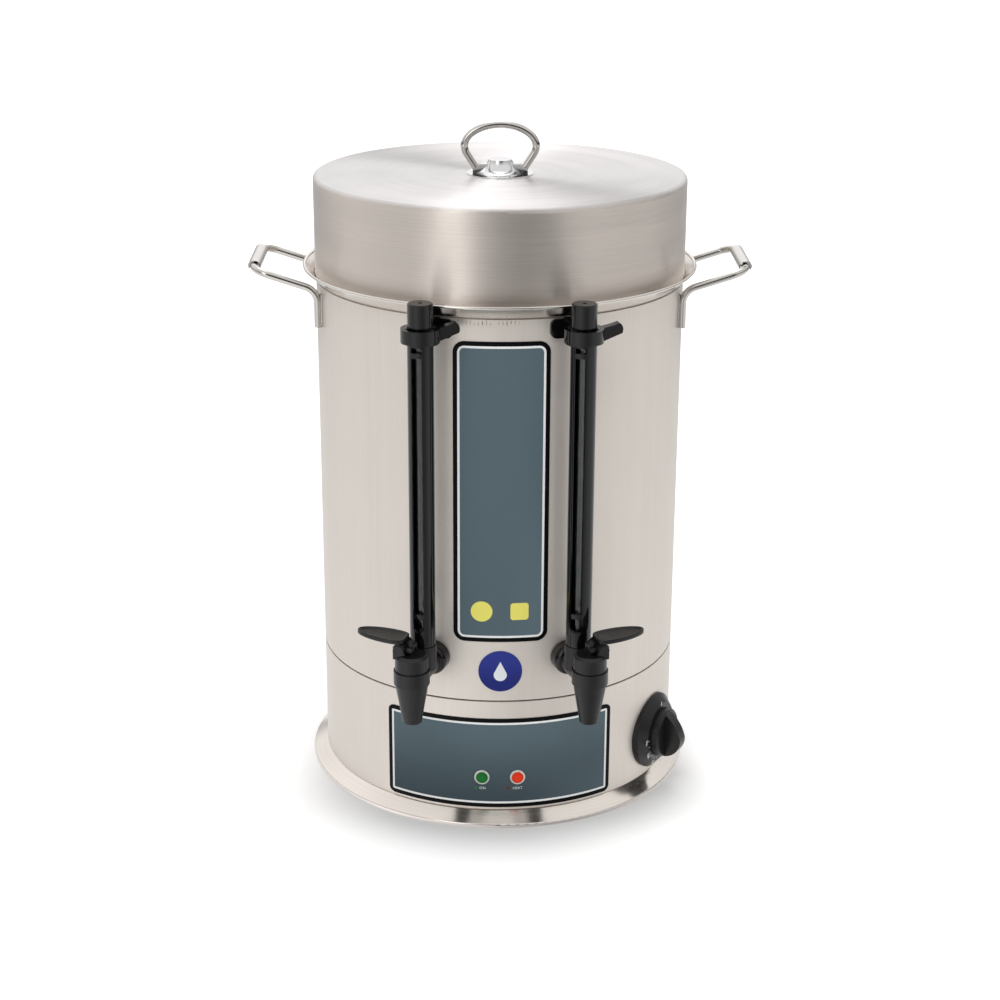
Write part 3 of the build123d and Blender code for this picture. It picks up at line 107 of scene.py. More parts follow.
class Wiring:
    """Short ways to add and join the nodes of one tree."""

    def __init__(self, tree: bpy.types.NodeTree) -> None:
        """Keeps the tree that the nodes go into."""
        self.tree = tree

    def feed(self, socket: Socket, value: Value) -> None:
        """Links a socket to another one, or sets its own value."""
        if isinstance(value, bpy.types.NodeSocket):
            self.tree.links.new(value, socket)
        else:
            socket.default_value = value

    def add(self, kind: str, inputs: Mapping[str | int, Value] | None = None, **settings: object) -> bpy.types.Node:
        """Adds a shader node.

        Args:
            kind: The node's type without its ShaderNode start.
            inputs: Values or sockets for its inputs, by name or place.
            **settings: The node's own settings.

        Returns:
            The new node.
        """
        node = self.tree.nodes.new(f"ShaderNode{kind}")
        for name, value in settings.items():
            setattr(node, name, value)
        for socket, value in (inputs or {}).items():
            self.feed(node.inputs[socket], value)
        return node

    def maths(self, operation: str, first: Value, second: Value = 0.0) -> Socket:
        """Gives the result of a Math node on two values."""
        return self.add("Math", {0: first, 1: second}, operation=operation).outputs[0]

    def plus(self, first: Value, *others: Value) -> Socket:
        """Gives the sum of the values."""
        total = first
        for value in others:
            total = self.maths("ADD", total, value)
        return total

    def minus(self, first: Value, second: Value) -> Socket:
        """Gives the first value less the second."""
        return self.maths("SUBTRACT", first, second)

    def times(self, first: Value, second: Value) -> Socket:
        """Gives the product of two values."""
        return self.maths("MULTIPLY", first, second)

    def over(self, value: Value, edge: float) -> Socket:
        """Gives 1 where value is more than edge and 0 elsewhere."""
        return self.maths("GREATER_THAN", value, edge)

    def size(self, value: Value) -> Socket:
        """Gives a value without its sign."""
        return self.maths("ABSOLUTE", value)

    def length(self, vector: Value) -> Socket:
        """Gives a vector's length."""
        return self.add("VectorMath", {0: vector}, operation="LENGTH").outputs["Value"]

    def vector(self, operation: str, first: Value, second: Value = (0.0, 0.0, 0.0)) -> Socket:
        """Gives the vector that a Vector Math node makes of two vectors."""
        return self.add("VectorMath", {0: first, 1: second}, operation=operation).outputs["Vector"]

    def blend(self, share: Value, first: Value, second: Value) -> Socket:
        """Gives the colour that is first where share is 0 and second where it is 1."""
        return self.add("Mix", {0: share, 6: first, 7: second}, data_type="RGBA").outputs[2]

    def ease(self, value: Value, start: float, end: float, low: float = 0.0, high: float = 1.0) -> Socket:
        """Gives a smooth step of value, from low at start to high at end."""
        spans = {"From Min": start, "From Max": end, "To Min": low, "To Max": high}
        return self.add("MapRange", {"Value": value, **spans}, interpolation_type="SMOOTHSTEP").outputs[0]

    def spread(self, field: Value, low: float = 0.0, high: float = 1.0) -> Socket:
        """Stretches the middle of a noise field over the span from low to high."""
        return self.ease(field, 0.3, 0.7, low, high)

    def noise(self, vector: Value, scale: float, detail: float = 2.0, roughness: float = 0.5) -> Socket:
        """Gives a noise field over a vector, about 0.5 on average."""
        values = {"Vector": vector, "Scale": scale, "Detail": detail, "Roughness": roughness}
        return self.add("TexNoise", values).outputs[0]

    def place(self) -> Socket:
        """Gives the point on the surface, in the urn's frame."""
        return self.add("TexCoord").outputs["Object"]

    def parts(self, vector: Value) -> tuple[Socket, Socket, Socket]:
        """Gives the three parts of a vector."""
        split = self.add("SeparateXYZ", {0: vector})
        return split.outputs[0], split.outputs[1], split.outputs[2]

    def joined(self, x: Value, y: Value, z: Value) -> Socket:
        """Gives the vector of three parts."""
        return self.add("CombineXYZ", {0: x, 1: y, 2: z}).outputs[0]

    def worn(self, rough: Value, marks: bpy.types.NodeOutputs, smudge: float, scratch: float) -> Socket:
        """Gives a roughness that smudges and scratches raise, each by its share."""
        return self.plus(rough, self.times(marks["Smudge"], smudge), self.times(marks["Scratch"], scratch))

    def surface(
        self, colour: Value, rough: Value, relief: Socket | None = None, depth: float = 0.0, **others: Value
    ) -> Socket:
        """Gives the shader of a surface.

        Args:
            colour: Its base colour.
            rough: Its roughness.
            relief: Its relief, if it has one.
            depth: The depth of the relief, in metres.
            **others: The shader's other inputs by name, with _ for a space.

        Returns:
            The shader's socket.
        """
        values = {label.replace("_", " "): value for label, value in others.items()}
        if relief is not None:
            values["Normal"] = self.add("Bump", {"Height": relief, "Distance": depth}).outputs["Normal"]
        return self.add("BsdfPrincipled", {"Base Color": colour, "Roughness": rough, **values}).outputs[0]


class Effect(ABC):
    """A node group that several finishes place, each with its own values."""

    name: str
    takes: tuple[str, ...]
    gives: tuple[str, ...]

    @abstractmethod
    def wire(self, wiring: Wiring, given: bpy.types.NodeOutputs) -> Mapping[str, Socket]:
        """Builds the group's inside and gives the socket of each output."""

    def tree(self) -> bpy.types.NodeTree:
        """Gives the group's node tree, built the first time it is asked for."""
        found = bpy.data.node_groups.get(self.name)
        if found:
            return found
        tree = bpy.data.node_groups.new(self.name, "ShaderNodeTree")
        for label in self.takes:
            tree.interface.new_socket(name=label, in_out="INPUT", socket_type="NodeSocketFloat")
        for label in self.gives:
            tree.interface.new_socket(name=label, in_out="OUTPUT", socket_type="NodeSocketFloat")
        given = tree.nodes.new("NodeGroupInput")
        result = tree.nodes.new("NodeGroupOutput")
        wiring = Wiring(tree)
        for label, socket in self.wire(wiring, given.outputs).items():
            wiring.feed(result.inputs[label], socket)
        return tree

    def put(self, wiring: Wiring, **values: Value) -> bpy.types.NodeOutputs:
        """Places the group in a material.

        Args:
            wiring: The material's tree.
            **values: The inputs by name, with _ for a space.

        Returns:
            The group node's outputs.
        """
        node = wiring.tree.nodes.new("ShaderNodeGroup")
        node.node_tree = self.tree()
        for label, value in values.items():
            wiring.feed(node.inputs[label.replace("_", " ")], value)
        return node.outputs


class SheetGrain(Effect):
    """Fine brushing lines, upright or turned about the urn's axis. Across and Along are per metre."""

    name = "sheet_grain"
    takes = ("Turned", "Across", "Along")
    gives = ("Tone", "Height")

    def wire(self, wiring: Wiring, given: bpy.types.NodeOutputs) -> Mapping[str, Socket]:
        """Stretches noise along the brushing, and mixes a fine and a broad one."""
        point = wiring.place()
        x, y, z = wiring.parts(point)
        radius = wiring.length(wiring.joined(x, y, 0.0))
        across, along = given["Across"], given["Along"]
        scale = wiring.joined(across, across, along)
        upright = wiring.vector("MULTIPLY", point, scale)
        drift = wiring.plus(x, y)
        turned = wiring.vector("MULTIPLY", wiring.joined(radius, z, drift), scale)
        lines = wiring.add("Mix", {0: given["Turned"], 4: upright, 5: turned}, data_type="VECTOR").outputs[1]
        fine = wiring.noise(lines, 1.0, 6.0, 0.7)
        broad = wiring.noise(lines, 0.06, 3.0, 0.6)
        tone = wiring.plus(wiring.times(fine, 0.5), wiring.times(broad, 0.5))
        return {"Tone": tone, "Height": fine}


class Handling(Effect):
    """Soft smudges and thin scratches from use."""

    name = "handling_marks"
    takes = ("Amount", "Scale")
    gives = ("Smudge", "Scratch")

    def wire(self, wiring: Wiring, given: bpy.types.NodeOutputs) -> Mapping[str, Socket]:
        """Makes smudges from soft noise and scratches from the ridges of a stretched one."""
        point = wiring.place()
        scale = given["Scale"]
        scaled = wiring.vector("MULTIPLY", point, wiring.joined(scale, scale, scale))
        smudge = wiring.ease(wiring.noise(scaled, 1.0, 4.0, 0.55), 0.42, 0.72)
        turned = wiring.add("VectorRotate", {0: scaled, "Angle": 0.7}, rotation_type="Y_AXIS").outputs[0]
        hair = wiring.noise(wiring.vector("MULTIPLY", turned, (3.0, 3.0, 60.0)), 1.0, 2.0)
        scratch = wiring.ease(hair, 0.70, 0.76)
        amount = given["Amount"]
        return {
            "Smudge": wiring.times(smudge, amount),
            "Scratch": wiring.times(scratch, amount),
        }


class Wrap(Effect):
    """Where a point lies on the rolled wall: Across is the arc from the front, Up the height above Middle."""

    name = "wall_position"
    takes = ("Middle",)
    gives = ("Across", "Up", "Back")

    def wire(self, wiring: Wiring, given: bpy.types.NodeOutputs) -> Mapping[str, Socket]:
        """Unrolls the wall. Back is the sideways distance from the seam at the rear."""
        x, y, z = wiring.parts(wiring.place())
        turn = wiring.maths("ARCTAN2", x, wiring.times(y, -1.0))
        behind = wiring.plus(wiring.size(x), wiring.ease(y, 0.02, 0.0))
        across = wiring.times(turn, BODY_RADIUS)
        return {"Across": across, "Up": wiring.minus(z, given["Middle"]), "Back": behind}


class Plate(Effect):
    """How far inside a plate with round corners a point of the unrolled wall lies."""

    name = "plate_depth"
    takes = ("Across", "Up", "Half Width", "Half Height", "Corner")
    gives = ("Depth",)

    def wire(self, wiring: Wiring, given: bpy.types.NodeOutputs) -> Mapping[str, Socket]:
        """Measures the distance to the plate's outline, positive inside."""

        def overhang(place: Socket, half: Socket) -> Socket:
            """Gives how far a place is past the straight part of one side."""
            inner = wiring.minus(half, given["Corner"])
            return wiring.minus(wiring.size(place), inner)

        side = overhang(given["Across"], given["Half Width"])
        end = overhang(given["Up"], given["Half Height"])
        past = wiring.joined(wiring.maths("MAXIMUM", side, 0.0), wiring.maths("MAXIMUM", end, 0.0), 0.0)
        corner = wiring.length(past)
        flat = wiring.maths("MINIMUM", wiring.maths("MAXIMUM", side, end), 0.0)
        distance = wiring.minus(wiring.plus(corner, flat), given["Corner"])
        return {"Depth": wiring.times(distance, -1.0)}


class MouldSkin(Effect):
    """The skin of a moulding: a fine stipple, and slow waves where it shrank."""

    name = "mould_skin"
    takes = ("Stipple", "Waves")
    gives = ("Height", "Tone")

    def wire(self, wiring: Wiring, given: bpy.types.NodeOutputs) -> Mapping[str, Socket]:
        """Adds the stipple and the waves."""
        point = wiring.place()
        stipple = wiring.noise(point, 2600.0, 2.0, 0.6)
        waves = wiring.noise(point, 95.0, 2.0, 0.5)
        height = wiring.plus(wiring.times(stipple, given["Stipple"]), wiring.times(waves, given["Waves"]))
        return {"Height": height, "Tone": waves}


GRAIN = SheetGrain()
HANDLING = Handling()
WRAP = Wrap()
PLATE = Plate()
MOULD_SKIN = MouldSkin()


# --- Finishes ---


@dataclass(frozen=True)
class Finish(ABC):
    """A surface finish that makes one material."""

    name: str

    @abstractmethod
    def shade(self, wiring: Wiring) -> Socket:
        """Builds the finish's nodes and gives the shader to show."""

    def material(self) -> bpy.types.Material:
        """Gives the finish's material, built the first time it is asked for."""
        found = bpy.data.materials.get(self.name)
        if found:
            return found
        made = bpy.data.materials.new(self.name)
        made.use_nodes = True
        made.node_tree.nodes.clear()
        wiring = Wiring(made.node_tree)
        wiring.add("OutputMaterial", {"Surface": self.shade(wiring)})
        return made


class Brushing(Enum):
    """Which way a sheet was brushed."""

    UPRIGHT = 0.0
    TURNED = 1.0


@dataclass(frozen=True)
class BrushedSteel(Finish):
    """Brushed stainless sheet, with its gloss drawn out across the brushing lines."""

    colour: Colour = screen(229, 221, 213)
    # painted reflection: faces that look up take this tint instead of the metal's own colour
    level_colour: Colour = screen(229, 221, 213)
    brushing: Brushing = Brushing.TURNED
    roughness: float = 0.3
    drawn: float = 0.75
    contrast: float = 0.10
    depth: float = 0.012 * MM
    lines_per_metre: float = 1100.0
    use: float = 0.5
    metallic: float = 1.0

    def relief(self, wiring: Wiring, fine: Socket) -> Socket:
        """Gives the height of the surface, here the brushing alone."""
        return fine

    def tone(self, wiring: Wiring, colour: Socket) -> Socket:
        """Gives the colour of the surface, here as it comes."""
        return colour

    def shade(self, wiring: Wiring) -> Socket:
        """Metal with fine lines, smudges that dull it, a tangent about the urn's axis, and a painted reflection tint on
        faces that look up.
        """
        grain = GRAIN.put(wiring, Turned=self.brushing.value, Across=self.lines_per_metre, Along=14.0)
        marks = HANDLING.put(wiring, Amount=self.use, Scale=26.0)
        # painted reflection tint: its share grows as the face turns up
        level = wiring.ease(wiring.parts(wiring.add("NewGeometry").outputs["Normal"])[2], 0.3, 0.9)
        colour = wiring.blend(level, self.colour, self.level_colour)
        shade = wiring.spread(grain["Tone"], 1 - self.contrast, 1 + self.contrast / 2)
        colour = self.tone(wiring, wiring.vector("MULTIPLY", colour, wiring.joined(shade, shade, shade)))
        rough = wiring.ease(grain["Tone"], 0.25, 0.75, self.roughness - 0.04, self.roughness + 0.04)
        return wiring.surface(
            colour,
            wiring.worn(rough, marks, smudge=0.06, scratch=0.05),
            self.relief(wiring, grain["Height"]),
            self.depth,
            Metallic=self.metallic,
            Anisotropic=self.drawn,
            Anisotropic_Rotation=0.25 * self.brushing.value,
            Tangent=wiring.add("Tangent", direction_type="RADIAL", axis="Z").outputs[0],
        )


@dataclass(frozen=True)
class RolledSteel(BrushedSteel):
    """A rolled wall, with its butt weld at the rear, the crimp's small puckers with painted shade in them, and painted
    shade in the seam's gap at its top.
    """

    weld_half_width: float = 2.2 * MM
    crimp_height: float = 420.6 * MM
    crimp_reach: float = 2.4 * MM
    crimp_pitch: float = 3.1 * MM
    crimp_aside: float = -9.0 * MM
    crimp_full: float = 17 * MM
    crimp_far: float = 26 * MM
    crimp_depth: float = 14.0
    weld_tint: Colour = screen(176, 160, 132)
    # painted shade in the puckers' hollows
    crimp_tint: Colour = screen(104, 92, 84)
    # painted shade for the seam's gap: the steel above the seam's height, seen through the gap, is darkened
    seam_tint: Colour = screen(58, 48, 42)
    seam_height: float = 1.0

    def crimps(self, wiring: Wiring) -> Socket:
        """Gives the puckers' depth, which fades to the sides and down the wall."""
        wall = WRAP.put(wiring, Middle=self.crimp_height)
        ripple = wiring.maths("SINE", wiring.times(wall["Across"], 2 * math.pi / self.crimp_pitch))
        peaks = wiring.ease(ripple, 0.55, 1.0)
        near = wiring.ease(wiring.size(wall["Up"]), self.crimp_reach, self.crimp_reach / 3)
        offset = wiring.size(wiring.minus(wall["Across"], self.crimp_aside))
        here = wiring.ease(offset, self.crimp_far, self.crimp_full)
        uneven = wiring.ease(wiring.noise(wiring.place(), 170.0), 0.35, 0.6)
        return wiring.times(wiring.times(peaks, near), wiring.times(here, uneven))

    def weld(self, wiring: Wiring) -> Socket:
        """Gives 1 on the planished weld at the rear and 0 off it."""
        wall = WRAP.put(wiring, Middle=0.0)
        return wiring.ease(wall["Back"], self.weld_half_width, self.weld_half_width / 3)

    def relief(self, wiring: Wiring, fine: Socket) -> Socket:
        """Raises the weld's ripples over the brushing and sinks the puckers."""
        ripple = wiring.noise(wiring.vector("MULTIPLY", wiring.place(), (200.0, 200.0, 700.0)), 1.0)
        raised = wiring.plus(fine, wiring.times(self.weld(wiring), wiring.plus(ripple, 2.0)))
        return wiring.minus(raised, wiring.times(self.crimps(wiring), self.crimp_depth))

    def tone(self, wiring: Wiring, colour: Socket) -> Socket:
        """Tints the weld straw yellow, and paints shade into the puckers and into the seam's gap."""
        welded = wiring.blend(wiring.times(self.weld(wiring), 0.55), colour, self.weld_tint)
        # painted shade: the puckers darken towards the shade tint
        pucker_shaded = wiring.blend(wiring.times(self.crimps(wiring), 0.8), welded, self.crimp_tint)
        # painted shade in the seam's gap, on everything above its height
        seam_shade_mask = wiring.over(wiring.parts(wiring.place())[2], self.seam_height)
        return wiring.blend(seam_shade_mask, pucker_shaded, self.seam_tint)


@dataclass(frozen=True)
class DrawnSteel(Finish):
    """Polished wire or strip, with faint drawing lines."""

    colour: Colour = screen(206, 202, 197)
    roughness: float = 0.10

    def shade(self, wiring: Wiring) -> Socket:
        """Bright metal that smudges and scratches dull a little."""
        marks = HANDLING.put(wiring, Amount=0.8, Scale=60.0)
        grain = GRAIN.put(wiring, Turned=0.0, Across=700.0, Along=60.0)
        rough = wiring.worn(self.roughness, marks, smudge=0.12, scratch=0.10)
        colour = wiring.blend(grain["Tone"], tinted(self.colour, 0.90), self.colour)
        return wiring.surface(colour, rough, grain["Height"], 0.006 * MM, Metallic=1.0)


@dataclass(frozen=True)
class Moulding(Finish):
    """Injection-moulded plastic or rubber, from glossy to satin."""

    colour: Colour = screen(24, 24, 25)
    roughness: float = 0.35
    stipple: float = 0.4
    waves: float = 0.6
    use: float = 0.5
    gloss: float = 0.5

    def shade(self, wiring: Wiring) -> Socket:
        """Plastic with a moulded skin, its gloss uneven where it was handled."""
        skin = MOULD_SKIN.put(wiring, Stipple=self.stipple, Waves=self.waves)
        marks = HANDLING.put(wiring, Amount=self.use, Scale=70.0)
        rough = wiring.worn(self.roughness, marks, smudge=0.12, scratch=0.15)
        shadow, light = tinted(self.colour, 0.85), tinted(self.colour, 1.15)
        colour = wiring.blend(wiring.spread(skin["Tone"]), shadow, light)
        colour = wiring.blend(wiring.times(marks["Scratch"], 0.25), colour, tinted(self.colour, 2.2))
        return wiring.surface(colour, rough, skin["Height"], 0.02 * MM, Specular_IOR_Level=self.gloss)


@dataclass(frozen=True)
class SpunBrass(Finish):
    """Turned brass, dulled in its hollows."""

    colour: Colour = screen(205, 172, 106)

    def shade(self, wiring: Wiring) -> Socket:
        """Warm metal with turning marks and brown patches."""
        grain = GRAIN.put(wiring, Turned=1.0, Across=1600.0, Along=20.0)
        marks = HANDLING.put(wiring, Amount=1.0, Scale=90.0)
        colour = wiring.blend(wiring.times(marks["Smudge"], 0.6), self.colour, screen(140, 104, 58))
        rough = wiring.spread(grain["Tone"], 0.22, 0.36)
        return wiring.surface(colour, rough, grain["Height"], 0.01 * MM, Metallic=1.0)


@dataclass(frozen=True)
class SightGlass(Finish):
    """Clear drawn glass tube with faint lines."""

    def shade(self, wiring: Wiring) -> Socket:
        """Glass whose gloss wavers a little along the tube."""
        grain = GRAIN.put(wiring, Turned=0.0, Across=500.0, Along=8.0)
        colour = wiring.blend(grain["Tone"], screen(232, 240, 238), screen(246, 250, 249))
        rough = wiring.spread(grain["Tone"], 0.01, 0.05)
        return wiring.surface(colour, rough, grain["Height"], 0.004 * MM, IOR=1.47, Transmission_Weight=1.0)


@dataclass(frozen=True)
class PrintedFilm(Finish, ABC):
    """A glossy printed film on the wall."""

    middle: float
    roughness: float = 0.4

    @abstractmethod
    def print_on(self, wiring: Wiring, across: Socket, up: Socket) -> Socket:
        """Gives the print's colour at a place on the unrolled wall."""

    def shade(self, wiring: Wiring) -> Socket:
        """Printed ink under a clear coat, with the fine haze of a laminate."""
        wall = WRAP.put(wiring, Middle=self.middle)
        skin = MOULD_SKIN.put(wiring, Stipple=0.25, Waves=0.5)
        marks = HANDLING.put(wiring, Amount=0.6, Scale=45.0)
        colour = self.print_on(wiring, wall["Across"], wall["Up"])
        worn = wiring.blend(wiring.times(marks["Scratch"], 0.12), colour, screen(190, 196, 198))
        rough = wiring.plus(self.roughness, wiring.times(marks["Smudge"], 0.08))
        return wiring.surface(worn, rough, skin["Height"], 0.01 * MM, Specular_IOR_Level=0.10)


@dataclass(frozen=True)
class FramedFilm(PrintedFilm):
    """A slate-blue field inside a white pinstripe and a black border."""

    half_width: float = 0.0
    half_height: float = 0.0
    corner: float = 0.0
    border: float = 3.5 * MM
    pinstripe: float = 1.8 * MM
    top: Colour = screen(97, 114, 122)
    bottom: Colour = screen(66, 80, 87)
    # painted sheen: the lighter colour towards the lower right
    right: Colour = screen(97, 114, 122)

    def field_colour(self, wiring: Wiring, across: Socket, up: Socket) -> Socket:
        """Gives the field's slow change of colour downwards, and a painted sheen that lightens it low on the right."""
        down = wiring.ease(up, -self.half_height, self.half_height)
        fall = wiring.blend(down, self.bottom, self.top)
        # painted sheen, strongest low on the right
        aside = wiring.ease(across, 0.0, self.half_width, 0.0, 0.7)
        low = wiring.ease(up, 0.4 * self.half_height, -self.half_height)
        return wiring.blend(wiring.times(aside, low), fall, self.right)

    def print_on(self, wiring: Wiring, across: Socket, up: Socket) -> Socket:
        """Lays the border and the pinstripe round the field."""
        sizes = {"Half_Width": self.half_width, "Half_Height": self.half_height, "Corner": self.corner}
        depth = PLATE.put(wiring, Across=across, Up=up, **sizes)["Depth"]
        in_stripe = wiring.over(depth, self.border)
        in_field = wiring.over(depth, self.border + self.pinstripe)
        framed = wiring.blend(in_stripe, screen(5, 5, 6), screen(250, 251, 251))
        return wiring.blend(in_field, framed, self.field_colour(wiring, across, up))


@dataclass(frozen=True)
class TokenFilm(FramedFilm):
    """The tall label: the framed field with a plain disc and a plain round-cornered tag near its foot."""

    token_up: float = -97.0 * MM
    token_aside: float = 15.0 * MM
    disc_radius: float = 8.6 * MM
    tag_half: float = 7.2 * MM
    yellow: Colour = screen(248, 240, 120)

    def field_colour(self, wiring: Wiring, across: Socket, up: Socket) -> Socket:
        """Prints the two tokens on the field."""
        plain = super().field_colour(wiring, across, up)
        height = wiring.minus(up, self.token_up)
        left = wiring.plus(across, self.token_aside)
        right = wiring.minus(across, self.token_aside)
        disc = {"Half_Width": self.disc_radius, "Half_Height": self.disc_radius, "Corner": self.disc_radius}
        tag = {"Half_Width": self.tag_half, "Half_Height": self.tag_half, "Corner": self.tag_half / 3}
        in_disc = PLATE.put(wiring, Across=left, Up=height, **disc)["Depth"]
        in_tag = PLATE.put(wiring, Across=right, Up=height, **tag)["Depth"]
        inside = wiring.over(wiring.maths("MAXIMUM", in_disc, in_tag), 0.0)
        return wiring.blend(inside, plain, self.yellow)


@dataclass(frozen=True)
class DropDisc(PrintedFilm):
    """The round sticker: a blue disc with a plain white drop of water."""

    drop_radius: float = 5.2 * MM
    drop_tip: float = 11.5 * MM
    drop_low: float = 3.2 * MM
    disc_radius: float = 12.0 * MM
    foot: Colour = screen(40, 48, 124)
    head: Colour = screen(52, 62, 148)

    def print_on(self, wiring: Wiring, across: Socket, up: Socket) -> Socket:
        """Draws the drop as a circle with a cone on it."""
        height = wiring.plus(up, self.drop_low)
        from_middle = wiring.length(wiring.joined(across, height, 0.0))
        in_round = wiring.maths("LESS_THAN", from_middle, self.drop_radius)
        tip_turn = math.asin(self.drop_radius / self.drop_tip)
        shoulder = self.drop_radius * math.sin(tip_turn)
        to_tip = wiring.minus(self.drop_tip, height)
        half_width = wiring.times(to_tip, math.tan(tip_turn))
        in_cone = wiring.maths("LESS_THAN", wiring.size(across), half_width)
        above = wiring.over(height, shoulder)
        drop = wiring.maths("MAXIMUM", in_round, wiring.times(in_cone, above))
        shaded = wiring.blend(wiring.ease(up, -self.disc_radius, self.disc_radius), self.foot, self.head)
        return wiring.blend(drop, shaded, screen(240, 243, 246))


@dataclass(frozen=True)
class LampLens(Finish):
    """A coloured pilot lens, a little brighter in its middle."""

    colour: Colour
    azimuth: float
    height: float = 40.4 * MM
    bright: float = 2.5 * MM
    dim: float = 6.5 * MM
    rings: float = 5200.0

    def shade(self, wiring: Wiring) -> Socket:
        """Tinted plastic with ribs behind its face and a faint inner light."""
        centre = outward(self.azimuth) * BODY_RADIUS + UP * self.height
        offset = wiring.vector("SUBTRACT", wiring.place(), tuple(centre))
        distance = wiring.length(offset)
        rings = wiring.maths("SINE", wiring.times(distance, self.rings))
        near = wiring.ease(distance, self.dim, self.bright)
        colour = wiring.blend(near, tinted(self.colour, 0.75), tinted(self.colour, 1.1))
        rough = wiring.spread(wiring.noise(wiring.place(), 900.0), 0.18, 0.30)
        glow = {"Emission_Color": colour, "Emission_Strength": 0.12}
        return wiring.surface(colour, rough, rings, 0.03 * MM, Specular_IOR_Level=0.25, **glow)


@dataclass(frozen=True)
class Ink(Finish):
    """Printed ink, slightly broken up."""

    colour: Colour

    def shade(self, wiring: Wiring) -> Socket:
        """Matt colour that wears thin in spots."""
        spots = wiring.ease(wiring.noise(wiring.place(), 1800.0, 3.0), 0.25, 0.5)
        colour = wiring.blend(spots, tinted(self.colour, 0.75), self.colour)
        return wiring.surface(colour, wiring.ease(spots, 0.0, 1.0, 0.6, 0.45))


ROLLED = {"brushing": Brushing.UPRIGHT, "roughness": 0.34, "drawn": 0.7, "contrast": 0.05, "metallic": 0.5}
WALL_STEEL = RolledSteel("wall_steel", **ROLLED)
# the drum's edge above the seam, seen through the gap, gets painted shade
DRUM_STEEL = RolledSteel("drum_steel", crimp_height=-1.0, seam_height=107.4 * MM, **ROLLED)
RIM_STEEL = BrushedSteel("rim_steel", screen(226, 221, 215), roughness=0.2, drawn=0.4)
FOOT_STEEL = BrushedSteel("foot_steel", screen(222, 214, 208), roughness=0.16, drawn=0.5)
# the lid's top gets a painted reflection tint, cooler and more neutral than its side
LID_STEEL = BrushedSteel(
    "lid_steel", screen(228, 219, 211), screen(226, 223, 222), roughness=0.40, drawn=0.98, contrast=0.12
)
INNER_STEEL = BrushedSteel("inner_steel", screen(204, 200, 195), roughness=0.36, drawn=0.3, use=1.0)
BRIGHT_STEEL = DrawnSteel("bright_steel")
BOSS_STEEL = DrawnSteel("boss_steel", screen(224, 224, 224), roughness=0.16)
PLAIN_STEEL = DrawnSteel("plain_steel", screen(205, 203, 200), roughness=0.3)
BRASS = SpunBrass("turned_brass")
GLOSS_BLACK = Moulding(
    "gloss_black", screen(10, 10, 11), roughness=0.08, stipple=0.05, waves=1.4, use=0.3, gloss=0.4
)
SATIN_BLACK = Moulding("satin_black", screen(21, 20, 21), roughness=0.32, stipple=0.6, waves=0.6, gloss=0.4)
KNOB_BLACK = Moulding("knob_black", screen(20, 20, 21), roughness=0.32, stipple=0.6, waves=0.3, gloss=0.4)
BAKELITE = Moulding("bakelite", screen(46, 34, 28), roughness=0.4, stipple=0.8)
CERAMIC = Moulding("steatite", screen(224, 218, 204), roughness=0.5, stipple=1.2)
LAMP_RIM = Moulding("lamp_rim", screen(214, 216, 208), roughness=0.28, stipple=0.2)
SEAL = Moulding("silicone_seal", screen(168, 78, 52), roughness=0.6, stipple=1.4, waves=1.2)
NYLON = Moulding("nylon_gland", screen(40, 40, 42), roughness=0.5, stipple=1.2)
GLASS = SightGlass("sight_glass")
GREEN_LENS = LampLens("green_lens_glow", screen(0, 104, 36), azimuth=-5.5)
ORANGE_LENS = LampLens("orange_lens_glow", screen(222, 52, 8), azimuth=5.5)
WHITE_INK = Ink("white_ink", screen(238, 240, 240))
GREEN_INK = Ink("green_ink", screen(10, 104, 58))
RED_INK = Ink("red_ink", screen(104, 20, 22))


# --- Modelling ---


